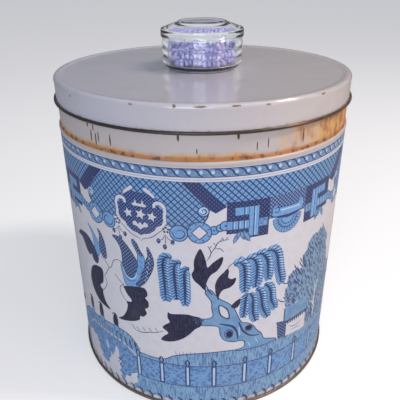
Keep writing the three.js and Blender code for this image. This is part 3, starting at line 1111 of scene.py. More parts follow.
class MedallionSide(Motif):
    """The right half of the scrolled medallion."""

    def draw(self) -> None:
        """Draws the scrolls, a star, half the crown and a sprig."""
        self.plate(Ink.GROUND, "0,-60 14.6,-60 16,-66.5 14,-71 10,-74.4 6,-77 0,-80")
        self.line(0.5, "15.8,-66.4 13.6,-70.4 10.8,-73 7.4,-76 4,-77.6 1.4,-78.4 0.2,-80.2")
        self.plate(
            Ink.MEDALLION,
            "0,-49.4 4,-49.6 8.4,-50 10,-52.5 10.4,-57 13,-58 14.2,-61 13.8,-63.4 14.2,-65 13,-67.8",
            "9.8,-69.8 8.8,-71.8 5.6,-74.4 2,-75.4 0,-76.4",
        )
        band = "9.2,-57.6 9.2,-55.6 11,-54.5 13.2,-54.9 14.9,-57 15.3,-60"
        low = "14.8,-62.4 15.2,-64.8 14.2,-68 11,-70.4 9.8,-72.2 6.4,-75 0,-77.4"
        self.line(1.2, band, low, tip=0.8, ink=Ink.GROUND)
        self.line(2.1, band, tip=0.7, ink=Ink.GROUND)
        self.line(0.5, "8,-57.4 8,-54.8 10.4,-53.2 13.6,-53.6 16,-56 16.4,-60", ink=Ink.DEEP)
        self.line(1.9, "3.4,-47.2 5.2,-47.8 7.4,-49.6 9.6,-51.6", tip=0.5, ink=Ink.GROUND)
        self.dot(Ink.GROUND, 4.4, -47.4, 1.2, 8)
        self.star(Ink.GROUND, 7.4, -63.4, 3.2)
        self.plate(Ink.GROUND, "0,-67.8 1.4,-69.6 2.8,-67.6 4.8,-68.4 4.6,-70.4 2.4,-70.8 0,-72.6")
        self.plate(Ink.GROUND, "0,-56.4 1.4,-56.4 2.2,-53.8 3,-56.4 4.8,-57 3.4,-58.2 0,-58")
        self.line(0.45, "14.6,-73.6 13.4,-76.4 11.4,-77.8")
        self.line(0.45, "14.7,-74 15,-77.6 14.4,-80.4")
        self.line(0.45, "14.8,-73.6 16.4,-76 18.4,-77.4")
        for u, z in ((10.7, -78.2), (14.3, -81.6), (18.9, -78.0)):
            self.dot(Ink.NAVY, u, z, 1.3, 8, 1.4)
        for u, z in arc((15.3, -70.6), 1.5, 90, 378, 4):
            self.dot(Ink.LINE, u, z, 0.75, 8)


class Medallion(Motif):
    """The scrolled medallion."""

    def draw(self) -> None:
        """Draws both halves and the middle star."""
        side = MedallionSide()
        self.add(side)
        self.add(side, mirror=True)
        self.star(Ink.GROUND, 0.6, -62.9, 3.5)


class Scene(Motif):
    """The garden scene of the willow pattern, which goes round the wall twice."""

    def draw(self) -> None:
        """Draws the scene from the back to the front."""
        self._land()
        self._hidden_sides()
        self._fence()
        self._grove()
        self._tree()
        self._willow()
        self._leaves()
        self._right_bird()
        self._left_bird()
        self._walkers()

    def _land(self) -> None:
        """Draws the meadow, the bridge and the water beside it."""
        top = listed(
            "-47,-168 -43,-167 -35,-167.6 -26,-167 -21,-164 -17,-162 -9,-160 3,-158.6 17,-158",
            "34,-158.6 48,-158 60,-160.5 78,-163 96,-167 149.1,-169",
        )
        self.plate(Ink.MEADOW, *top, "149.1,-202.4 -149.1,-202.4 -149.1,-184 -100,-172")
        self.line(0.7, *top[:11], tip=0.8)
        for i in range(34):
            u = -18 + 2.4 * i
            high, low = (u, -158.8 + 0.4 * (i % 3)), (u + 0.6, -161.6 - 0.7 * (i % 2))
            self.line(0.8, high, low, tip=0.3, steps=1, ink=Ink.DEEP)
        self.box(Ink.SHADE, -46, 149.1, -170, -188)
        self.box(Ink.MEADOW, -46, 149.1, -188, -202.4)
        deck = "-112,-170 -100,-160 -92,-158 -84,-157 -72,-155 -60,-154 -50,-156 -43,-165"
        self.plate(Ink.MEADOW, deck, "-43,-202.4 -112,-202.4")
        self.line(0.8, deck, tip=0.8)
        self.leaf(Ink.SHADE, "-98,-168 -84,-166 -60,-165 -47,-172 -46,-186 -60,-176 -96,-180")
        self.leaf(Ink.SHADE, "-89,-176 -78,-173 -66,-176 -50,-180 -45,-190 -56,-201 -84,-200")
        self.plate(
            Ink.GROUND,
            "-106,-184 -97,-178.5 -92,-180 -89.6,-178 -88.6,-183 -85.6,-184 -86.8,-188 -82.6,-191",
            "-83.4,-193.6 -78.6,-195 -74,-194 -74.6,-190 -71.6,-187 -71.4,-181 -69.4,-184 -66.6,-178.6",
            "-65,-183 -60.6,-184 -63,-188 -61,-191 -63.8,-194 -61,-197 -63,-199 -59.6,-203.4",
            "-106,-203.4",
        )
        self.plate(
            Ink.GROUND,
            "-46,-187 -47.4,-191 -46.8,-196 -50.4,-199 -51.6,-203.4 -62,-203.4 -58,-198 -57.6,-195",
            "-53,-194 -52,-190.6",
        )
        self.leaf(Ink.GROUND, "-66,-182 -66,-176 -64.4,-172.6 -62.6,-175 -62.6,-182", steps=2)
        self.leaf(Ink.PALE, "-76,-180 -76,-175.6 -74.4,-172.8 -72.8,-175.4 -73,-180", steps=2)
        self.line(0.5, "-57,-175 -60,-181 -64.6,-187.6", tip=0.5)
        self.line(1.0, "-98,-173 -91,-166 -74,-164.6 -58,-165 -47,-171 -43,-178", tip=0.7, ink=Ink.GROUND)
        for i in range(14):
            u = -99 + 4.0 * i
            top = -157.5 - abs(i - 8) * 0.5
            wide = 1.3 if i > 8 else 0.8
            self.line(wide, (u, top), (u + 1.2, top - 7.5), tip=0.7, steps=1)
            self.line(0.6, (u + 2, top), (u - 0.6, top - 4.5), tip=0.5, steps=1, ink=Ink.DEEP)

    def _fence(self) -> None:
        """Draws the garden fence along the front."""
        posts = (-44.7, -27.7, -10.4, 6.6, 26.9, 45.6, 66.7, 86.0, 105.4, 125.0, 143.0)
        for u in posts:
            for lean in (-1, 1):
                foot = (u + 17.0 + 8.5 * (lean - 1), -172.5)
                self.line(1.2, foot, (foot[0] - 8.0 * lean, -179.5), (foot[0] - 16 * lean, -187), ink=Ink.SKY)
        for u in posts:
            for lean in (-1, 1):
                knee, end = (u + 1.4 * lean, -167.8), (u + 0.4 * lean, -170.8)
                self.line(1.1, (u, -165.2), knee, end, tip=0.6)
            self.box(Ink.LINE, u - 1.7, u + 1.7, -171, -188)
            self.box(Ink.PALE, u - 0.75, u + 0.75, -171.6, -187.2)
        for z in (-170.2, -188.2):
            self.line(0.6, (-43, z), (20, z - 0.4), (80, z), (149, z), tip=0.9)

    def _hidden_sides(self) -> None:
        """Draws the island with its boat and the temple between the two scenes."""
        island = "-148,-128 -138,-121 -126,-126 -116,-131 -112,-136 -130,-139 -146,-137"
        self.leaf(Ink.FOLIAGE, island, rim=0.5)
        for u, z, radius in ((-140, -118, 6.5), (-132, -113, 6.0), (-124, -119, 5.5)):
            self.disc(Ink.FOLIAGE, u, z, radius + 0.5, radius, 14)
        self.leaf(Ink.NAVY, "-143,-156 -132,-160 -120,-160 -108,-155 -114,-163 -136,-164", rim=0.4)
        self.box(Ink.SKY, -132, -119, -151, -159)
        self.leaf(Ink.LINE, "-135,-151 -125.5,-147.4 -116,-151 -125.5,-150.4")
        for base, width, height in ((-152, 34, 12), (-131, 25, 10), (-114, 16, 8)):
            self._temple_floor(131.0, base, width, height)

    def _temple_floor(self, middle: float, base: float, width: float, height: float) -> None:
        """Draws one storey of the temple with its curved roof.

        Args:
            middle: The temple's middle.
            base: The storey's floor.
            width: The width of its roof.
            height: The height of its wall.
        """
        half = width / 2
        eave = base + height
        self.box(Ink.PALE, middle - half * 0.7, middle + half * 0.7, eave, base)
        for i in range(5):
            u = middle + half * 0.7 * (i - 2) / 2
            self.box(Ink.LINE, u - 0.6, u + 0.6, eave, base)
        ends = [(half + 2, 2.6), (half * 0.6, 3.0), (half * 0.4, 8.4)]
        roof = [(middle - across, eave + up) for across, up in ends]
        roof += [(middle + across, eave + up) for across, up in ends[::-1]]
        low = [(middle + half * 0.8, eave - 0.6), (middle - half * 0.8, eave - 0.6)]
        self.leaf(Ink.FRET, *roof, *low, rim=0.4)

    def _grove(self) -> None:
        """Draws the orchard trees and the garden wall on the right."""
        crowns = listed(
            "78,-97,7.5 86,-95,6.5 92,-102,6.5 73,-104,6.5 83,-107,8 93,-112,7 72,-115,8 84,-119,8.5",
            "95,-124,7.5 61,-115,6.5 60,-124,7 70,-128,8.5 82,-132,8.5 93,-137,8 60,-131,6 90,-148,7",
            "84,-156,6",
        )
        for u, z, radius in crowns:
            self.dot(Ink.FOLIAGE, u, z, radius, 16)
        self.plate(Ink.FOLIAGE, "60,-110 100,-110 104,-122 113,-127 113,-172 77,-166 76,-134 56,-136")
        draw = random.Random(7)
        more = listed("80,-142,7 82,-152,6.5 93,-158,6 66,-108,6 104,-132,7 105,-146,7.5 104,-160,7.5")
        for u, z, radius in crowns + more:
            for i in range(13):
                turn, reach = 2.4 * i, radius * 1.02 * math.sqrt((i + 0.5) / 13)
                across = u + reach * math.cos(turn) + draw.uniform(-0.8, 0.8)
                up = z + reach * math.sin(turn) + draw.uniform(-0.8, 0.8)
                long = draw.uniform(1.9, 3.0)
                offsets = (-1.3, long), (0.4, 0.3), (1.4, -long), (-0.4, -0.3)
                self.plate(Ink.LINE, *((across + right, up + rise) for right, rise in offsets))
        for u, z, radius in ((60, -121, 3.2), (59.5, -129, 2.6), (66, -126, 3.0)):
            self.disc(Ink.FOLIAGE, u, z, radius, radius - 0.6, 10)
        self.line(1.8, "86,-132 87.6,-139 86.6,-147 88.2,-153 87,-161", tip=0.4, ink=Ink.GROUND)
        self.line(1.0, "90,-129 87.4,-138", tip=0.4, ink=Ink.GROUND)
        self.line(1.0, "82.6,-144 86.8,-150", tip=0.4, ink=Ink.GROUND)
        self.plate(Ink.TRUNK, "55,-136.2 76.4,-135.4 76.4,-147.6 55,-148.2")
        for i in range(11):
            u = 55.4 + 2.1 * i
            self.line(0.5, (u + 0.6, -141), (u + 0.9, -147), tip=0.3, steps=1)
            self.plate(Ink.LINE, (u - 0.4, -147.2), (u + 2.0, -147.2), (u + 1.6, -151.4), (u + 0.4, -149.6))
        self.box(Ink.LINE, 54.2, 55.2, -136, -150)
        self.plate(Ink.NAVY, "48.8,-145.6 57.2,-147 57.2,-160.5 50.4,-159")
        self.line(0.9, "48.4,-145.2 54,-146.6 58,-148.4", tip=0.8)
        self.plate(Ink.GROUND, "57.4,-150.6 76.2,-150.4 76.6,-158 72,-162.8 66,-160.6 57.4,-159.4")
        self.line(0.8, "60,-153 65,-155.4 73,-154.6", tip=0.4, ink=Ink.SHADE)
        self.line(0.7, "61,-157 67,-157.8 72,-159", tip=0.4, ink=Ink.SHADE)
        for height, left in ((-116.5, 51), (-130, 50)):
            self.line(0.8, (left - 2, height + 4), (left + 1.5, height + 0.6), (left + 6, height))

    def _tree(self) -> None:
        """Draws the old tree's trunk with its roots and eyes."""
        self.leaf(
            Ink.TRUNK,
            "1.2,-111.6 4.8,-118 5.2,-123.6 6,-129 3.2,-131.4 -1.5,-132 -1.5,-136 4.8,-136.4 9.6,-138",
            "10.4,-143.6 12.8,-148.4 18.4,-150.8 24,-150.8 26.4,-153.2 25.6,-157.2 20,-158.6 34,-159.4",
            "48.8,-158.8 44.8,-156.4 39.2,-154 37.2,-149.2 33.6,-145.2 31.2,-141.2 27.2,-138",
            "23.2,-136.4 20,-129.2 18,-124.4 14.4,-120.4 8.8,-116.4 4,-110",
            rim=0.6,
        )
        self.leaf(Ink.LINE, "9,-121.2 12.8,-122.8 15.2,-126.2 15.8,-132.4 11.8,-131 9.4,-127.8")
        self.leaf(Ink.GROUND, "9.6,-122 12.4,-123.6 14.5,-126.8 15,-131.4 12.1,-130.2 10.2,-127.4")
        self.line(1.6, "9.6,-135.6 14,-137 18,-138.8 20.5,-143 21.6,-149.5", tip=0.4)
        self.line(1.5, "21.6,-135.8 23.2,-140 25,-144 30,-148.5 36,-149.5", tip=0.4)
        self.disc(Ink.SKY, 15.6, -144.2, 2.9, 2.3, 14, 1.25)
        self.dot(Ink.BLACK, 15.8, -144.4, 2.0, 12, 1.3)
        self.disc(Ink.SKY, 28.4, -142.2, 2.7, 2.1, 14)
        self.dot(Ink.BLACK, 28.4, -142.0, 2.0, 12)
        for points in ("28,-153 30,-157.6", "33,-151 35.4,-156", "22,-139 22.6,-147"):
            self.line(0.6, points, ink=Ink.PALE)
        self.leaf(Ink.BLACK, "16.4,-123.2 19.2,-119.6 22.4,-118 22,-122 19.6,-124.8")
        self.line(0.9, "1.6,-106 3,-110 5.4,-113.6")
        self.line(1.1, "7,-110.5 8.2,-114.5 8.8,-117.4")

    def _willow(self) -> None:
        """Draws the hanging willow fronds."""
        for spine, left, right in (
            ("-18,-88.6 -20.4,-87.8 -22.6,-89.6 -23.6,-94 -23,-106 -22.6,-120", 3.4, 4.9),
            ("-12.6,-91.6 -14.8,-91.2 -16.6,-93 -17,-97 -16.6,-107 -15.8,-118", 3.2, 4.3),
            ("-8,-95 -9.6,-94.8 -10.8,-97 -11,-101 -10.8,-109 -11,-122", 3.0, 3.4),
            ("17.6,-93.4 20.6,-92 23,-93.8 24,-97 24.5,-104 24.6,-114", 3.4, 4.2),
            ("25,-90.6 28.4,-90.6 30.8,-93.2 32,-98 31.9,-104 31.4,-112", 3.4, 4.2),
            ("31,-88.6 34.2,-88.6 37,-91.4 38.8,-96 39.2,-101 39.8,-109", 3.2, 3.9),
            ("38,-87.6 41.6,-88.2 44.6,-91.6 46,-98 47.4,-105 50,-115", 3.2, 4.2),
            ("28,-116.4 26.2,-116 25.4,-119.4 25.2,-125 24.4,-133", 3.2, 3.0),
            ("28,-115.6 30,-118.4 30.4,-124 30.6,-130 32.8,-138", 3.2, 3.8),
            ("32,-113 34.4,-115.4 35.8,-119.6 37,-128 41.2,-137.4", 3.0, 4.2),
            ("37.4,-111.4 40.6,-113.8 42.2,-118 43.2,-125 46.6,-133", 3.0, 3.8),
        ):
            self.plume(spine, left, right)

    def _leaves(self) -> None:
        """Draws the dark leaves and the twigs above the trunk."""
        self.leaf(
            Ink.BLACK,
            "-1.7,-81.4 0.3,-85.5 1.6,-90 2.4,-94 5,-91.3 8,-88.8 10.9,-87.2 11.2,-89.5 10,-93.2",
            "7.6,-96.8 4.6,-99 2.8,-102 1.6,-106 1.4,-110 0.2,-109.5 -2.2,-106.5 -5.4,-103 -6.8,-98.8",
            "-5.4,-95.5 -5.4,-90 -3.9,-85",
        )
        self.leaf(
            Ink.BLACK,
            "14,-95.4 14.8,-98 14.4,-101.5 16.5,-103 19,-102.4 18.4,-106 15.4,-109 11.5,-110.3",
            "9.5,-113.5 8.6,-117 7,-110.5 6.8,-106 8.5,-101.5 11.5,-98",
        )
        self.leaf(
            Ink.BLACK,
            "-21.7,-128 -19.7,-129 -10.9,-128.2 -6.1,-129.2 -1.3,-131 -1.3,-136.4 -5.3,-139.6",
            "-9.3,-144.4 -14.1,-148.4 -20.5,-151.2 -26.9,-151.2 -25.3,-147.6 -22.1,-144.4 -25.7,-140.8",
            "-23.7,-138 -20.9,-135.6 -22.1,-132.4",
        )
        for i in range(4):
            middle, foot = (-4.4 + 1.4 * i, -133.2), (-5.0 + 1.5 * i, -136)
            self.line(0.6, (-5.6 + 1.5 * i, -130.6), middle, foot, tip=0.3, ink=Ink.NAVY)
        self.line(0.6, "2,-89.6 4.4,-84.4 2.4,-79.6")
        self.line(0.6, "4.2,-84.8 6.4,-81.2 8.8,-77.2 14.4,-76")
        self.line(0.5, "6.6,-81.6 9.6,-81.8 11.6,-84.2")
        for u, z, across in listed("3.2,-81.5,1.6 7,-79.4,-1.6 9.4,-76.6,1.4 11.6,-76.4,-1.2 12.4,-76.2,1.6"):
            self.line(0.45, (u, z), (u + across, z + 1.9))
        self.line(0.55, "14,-95.4 15.4,-93.4 17.6,-91.8")
        twig = "-47.3,-145.2 -45.3,-148.4 -40.5,-149.2 -34.9,-147.2 -30,-146 -25.4,-143.6"
        self.line(0.6, twig, tip=0.7)
        for i in range(4):
            self.line(0.5, (-42 + 4.4 * i, -148.6 + 1.1 * i), (-44.2 + 4.4 * i, -145.2 + 0.9 * i))

    def _right_bird(self) -> None:
        """Draws the right bird: body, feathers and its long dark tail."""
        belly = "-51.2,-99 -51,-108 -50,-113.5 -46.5,-116 -41.5,-115 -37,-110 -35.5,-105 -38,-101"
        self.leaf(Ink.SKY, belly, rim=0.4)
        dark = "-32.5,-83.6 -30.2,-88 -29,-94 -30.5,-100 -33.5,-106 -36,-110 -40,-113 -42,-112"
        self.leaf(Ink.NAVY, dark, "-39,-108 -37,-103 -35,-98 -34,-93 -32.6,-90 -32.8,-86", rim=0.3)
        for i in range(6):
            z = -90 - 3.4 * i
            self.line(0.45, (-32.2 - 0.7 * i, z), (-31.2 - 0.6 * i, z - 2.2), ink=Ink.PALE)
        blue = "-42,-80.4 -39.5,-82.5 -37.5,-87 -35.2,-91"
        rest = "-35,-96 -36.5,-101 -39.5,-104.5 -41,-100 -39.6,-95 -39.2,-90 -41,-86 -42.4,-83"
        self.leaf(Ink.SKY, blue, rest, rim=0.35)
        self.leaf(Ink.NAVY, blue, "-38.4,-90 -40.6,-86 -42.2,-82.6", steps=2)
        for i in range(5):
            z = -87 - 3.4 * i
            self.line(0.4, (-38.2, z), (-36.4, z - 2.0))
        body = "-57,-82 -51,-81.8 -46,-86 -42,-91.5 -39.8,-96 -40.2,-100 -42,-104.5 -44.5,-108"
        self.leaf(Ink.NAVY, body, "-48,-107.5 -50.5,-103 -50.5,-96 -51,-90 -53.5,-85", rim=0.3)
        self.line(0.9, "-50.4,-102 -49.4,-106.6 -45.8,-109.2 -42,-107.2 -40.8,-103", ink=Ink.PALE)
        self.line(0.5, "-50.8,-105 -49.2,-109 -45.6,-111 -41.4,-108.8")
        self.leaf(
            Ink.BLACK,
            "-50.9,-116.4 -38,-113.2 -34.8,-115.4 -34.6,-118.8 -36.2,-120.8 -34.2,-123.2 -34.4,-127.4",
            "-36.8,-129.4 -35.8,-132.4 -38.2,-135.8 -40.8,-136.2 -41.2,-139 -44.8,-141.6 -52.5,-144.4",
            "-58.9,-145 -54.9,-142 -51.3,-136.4 -49.7,-130.8 -50.5,-128 -46.9,-127.2 -46.5,-125.2",
            "-49.3,-122 -50.9,-118.8",
        )
        for i in range(4):
            self.line(0.5, (-43 - i, -117 - 5 * i), (-38.5 - 0.6 * i, -119 - 5 * i), ink=Ink.SLATE)
        self.line(0.5, "-50.9,-115.6 -54,-117.5 -54.7,-121 -52.5,-125.5 -49.7,-128", tip=0.8)
        self.line(0.5, "-58,-110 -54,-114 -51,-115.5", tip=0.8)

    def _left_bird(self) -> None:
        """Draws the left bird and the fine loops between the two."""
        blue = "-80.7,-82.6 -78,-84 -73,-89 -70.5,-93 -70,-99 -73,-103 -75.5,-98 -76,-93 -77,-88"
        self.leaf(Ink.SKY, blue, rim=0.35)
        dark = "-70.2,-82.2 -67,-84.5 -64.6,-90 -63.8,-96 -64.5,-101.5 -68,-101 -70,-96 -69.6,-90 -69,-86"
        self.leaf(Ink.NAVY, dark, rim=0.3)
        self.leaf(
            Ink.SLATE,
            "-98,-97.3 -94,-93.5 -88,-92.3 -83,-92.6 -79,-95 -76,-98 -74.5,-101 -72.6,-104.6",
            "-74.5,-109.4 -78.6,-108.6 -80.4,-104.8 -83.4,-106.6 -87,-104 -89.4,-100.2 -93,-97.2",
            rim=0.3,
        )
        self.leaf(
            Ink.BLACK,
            "-70.9,-111.2 -78,-112.4 -82.9,-116.4 -85.7,-123.6 -86,-128.4 -83.7,-134.8 -78.9,-139.6",
            "-74,-141.6 -65.7,-142 -70,-138 -72,-131.6 -71.7,-128.8 -74,-127.2 -73.7,-125.2",
            "-70.9,-122.8 -69.7,-118.8 -69.3,-114",
        )
        for loop in (
            "-70,-102 -66,-103.5 -62.5,-107 -60.5,-106 -58,-100.5 -54,-98.4 -50.8,-99.8",
            "-62.5,-107 -66,-113 -68,-115.5 -66.5,-120.5 -69,-126 -71.5,-128.5",
        ):
            self.line(0.5, loop, tip=0.8)
        for i in range(5):
            start, end = (-78 - 1.1 * (i % 3), -115 - 4.6 * i), (-74.6 - i % 3, -117 - 4.6 * i)
            self.line(0.5, start, end, ink=Ink.SLATE)

    def _walkers(self) -> None:
        """Draws the three tiny figures on the bridge."""
        for u, tall in ((-90, 12.5), (-77, 14), (-62, 13)):
            top = -155.5 + tall
            skirt = (u - 1.2, -150), (u + 1.4, -150), (u + 2.1, -157.2), (u - 2.0, -157.2)
            self.leaf(Ink.SKY, *skirt, rim=0.5, steps=2)
            shoulders = (u - 1.4, top - 2), (u + 1.4, top - 2)
            self.leaf(Ink.BLACK, *shoulders, (u + 2.5, -149), (u + 1.2, -153.4), (u - 2.4, -151.4))
            self.line(0.8, (u - 3.2, top - 2.8), (u - 1, top - 0.6), (u + 2.4, top - 2.2), tip=0.5)
            self.dot(Ink.BLACK, u, top - 1.2, 1.2, 8)


class WillowPrint(Motif):
    """The willow pattern round the wall: a rope band, a border of frets and the scene below it."""

    edge: float = 296.0
    rope_count: int = 96
    scallop_count: int = 82
    border_repeat: float = 173.0
    border_middle: float = -36.0

    def __init__(self, girth: float) -> None:
        """Draws the whole print.

        Args:
            girth: The length round the wall.
        """
        self.girth = girth
        super().__init__()

    def draw(self) -> None:
        """Draws the scenes, the bands and the seam, and ends them beside the seam."""
        scene = Scene()
        for shift in (-self.girth / 2, 0.0, self.girth / 2):
            self.add(scene, shift)
        self._rope()
        self._borders()
        self._scallops()
        seam = self.girth / 2 - 0.24
        for side in (-1, 1):
            self.box(Ink.LINE, side * seam - 0.01, side * (self.girth / 2) - side * 0.001, -33.1, -205.2)
        self.shapes = [self._trimmed(shape) for shape in self.shapes if self._shows(shape[1])]

    def _shows(self, outline: Outline) -> bool:
        """Says whether an outline lies at least partly in front of the seam."""
        return min(p[0] for p in outline) < self.edge and max(p[0] for p in outline) > -self.edge

    def _trimmed(self, shape: tuple[Ink, Outline]) -> tuple[Ink, Outline]:
        """Ends a shape at the margins beside the seam."""
        ink, outline = shape
        return ink, [(min(max(u, -self.edge), self.edge), z) for u, z in outline]

    def _rope(self) -> None:
        """Draws the rope band under the bead and the thin lines below it."""
        left, right = -self.edge, self.edge
        self.box(Ink.LINE, left, right, -33.1, -38.35)
        self.box(Ink.ROPE, left, right, -33.5, -37.95)
        twist = Motif()
        twist.dot(Ink.PALE, 3.9, -35.4, 1.05, 8)
        twist.line(0.95, "-1.5,-33.7 0.8,-34 2.2,-35.4 3.2,-37 5,-37.75", tip=0.35)
        pitch = self.girth / self.rope_count
        for i in range(self.rope_count):
            self.add(twist, (i - self.rope_count / 2) * pitch + 1.4)
        self.box(Ink.SKY, left, right, -39.4, -39.75)
        self.box(Ink.LINE, left, right, -40.8, -41.2)

    def _borders(self) -> None:
        """Repeats the border along the wall, each half mirrored about its medallion."""
        half, fan, medallion = BorderHalf(), Fan(), Medallion()
        middles = [self.border_middle + i * self.border_repeat for i in range(-2, 3)]
        for middle in middles:
            self.add(half, middle)
            self.add(half, middle, mirror=True)
        for middle in middles:
            self.add(fan, middle + self.border_repeat / 2)
            self.add(medallion, middle)

    def _scallops(self) -> None:
        """Draws the white scallops with slanted ticks round the foot."""
        pitch = self.girth / self.scallop_count
        scallop = Motif()
        crest = "-2.4,-203.4 -1.4,-202.2 0.6,-202 2.2,-203.2 2.6,-205 -2.2,-205"
        scallop.leaf(Ink.GROUND, crest, rim=0.3, steps=2)
        scallop.line(1.7, "0.8,-199.6 2.8,-201.2 3.7,-203 3.9,-205.4", tip=0.5)
        for i in range(self.scallop_count):
            self.add(scallop, (i + 0.5 - self.scallop_count / 2) * pitch)


@dataclass(frozen=True)
class NeckFinish:
    """White enamel on the bead and the neck, stained by rust along the lid's line."""

    white: Tone = (181, 174, 174)
    pale_rust: Tone = (202, 154, 84)
    rust: Tone = (156, 86, 28)
    dark: Tone = (78, 50, 36)
    bead_top: float = 177.95
    stain_middle: float = 106.0
    stain_reach: float = 72.0

    def material(self) -> Material:
        """Builds the neck's finish.

        Returns:
            The material.
        """
        look = Dressing("print_neck")
        nodes = look.nodes
        above = nodes.fade(look.height, self.bead_top - 0.5, self.bead_top - 0.1)
        lift = nodes.noise(look.place, 14.0, 3.0) * 5.0 - 2.4
        line = look.height - self.bead_top
        low_band = 1.0 - nodes.fade(line - lift, 0.8, 5.0)
        near = 1.0 - nodes.math("ABSOLUTE", look.around - self.stain_middle) / self.stain_reach
        side = nodes.fade(nodes.noise(look.place, 16.0, 4.0) + near, 0.5, 1.1) * 0.95
        share = (low_band | side) * above
        streaky = nodes.mask(runs, 5.0, 9.0) * 0.7 + nodes.noise(look.place, 6.0, 4.0) * 0.3
        hug = 1.0 - nodes.fade(line, 1.2, 3.6)
        strong = nodes.fade(streaky, 0.44, 0.6) | hug * 0.8
        tint = nodes.mix(strong * 0.85, self.pale_rust, self.rust)
        colour = nodes.mix(share * 0.92, self.white, tint)
        crust = 1.0 - nodes.fade(nodes.math("ABSOLUTE", line - 0.8), 0.3, 1.7)
        crust = crust * nodes.mask(patches, 5.0, 4.0, 0.5, 0.6, 1.0)
        streaks = [nodes.mask(ragged_spot, *mark, 0.5) for mark in self._marks()]
        black = functools.reduce(operator.or_, [crust * 0.75] + streaks) * above
        colour = nodes.mix(black, colour, self.dark)
        normal = nodes.bump(nodes.noise(look.place, 1.0, 3.0), 0.03)
        normal = nodes.bump(1.0 - black, 0.06, normal)
        return look.done(colour, share * 0.4 + 0.38, normal)

    @staticmethod
    def _marks() -> list[tuple[float, float, float, float]]:
        """The dark scratches: place round the tin, height, half width and half height."""
        return listed(
            "-69,190.6,0.6,1.6 -66.5,184.8,0.55,3.8 -64.4,189.6,0.5,2.2 -62.8,183.6,0.55,4",
            "-60.6,185,0.45,3.4 -52,184.4,0.5,3.8 -12.5,190.6,0.7,2.4 -3,183.4,0.35,1.6",
            "18.2,190.8,0.8,1.9 28.5,184.5,0.35,2.6 34.8,185.6,0.35,3 57.5,186,0.5,4.5",
            "-150,187,0.5,3 215,188,0.6,4",
        )


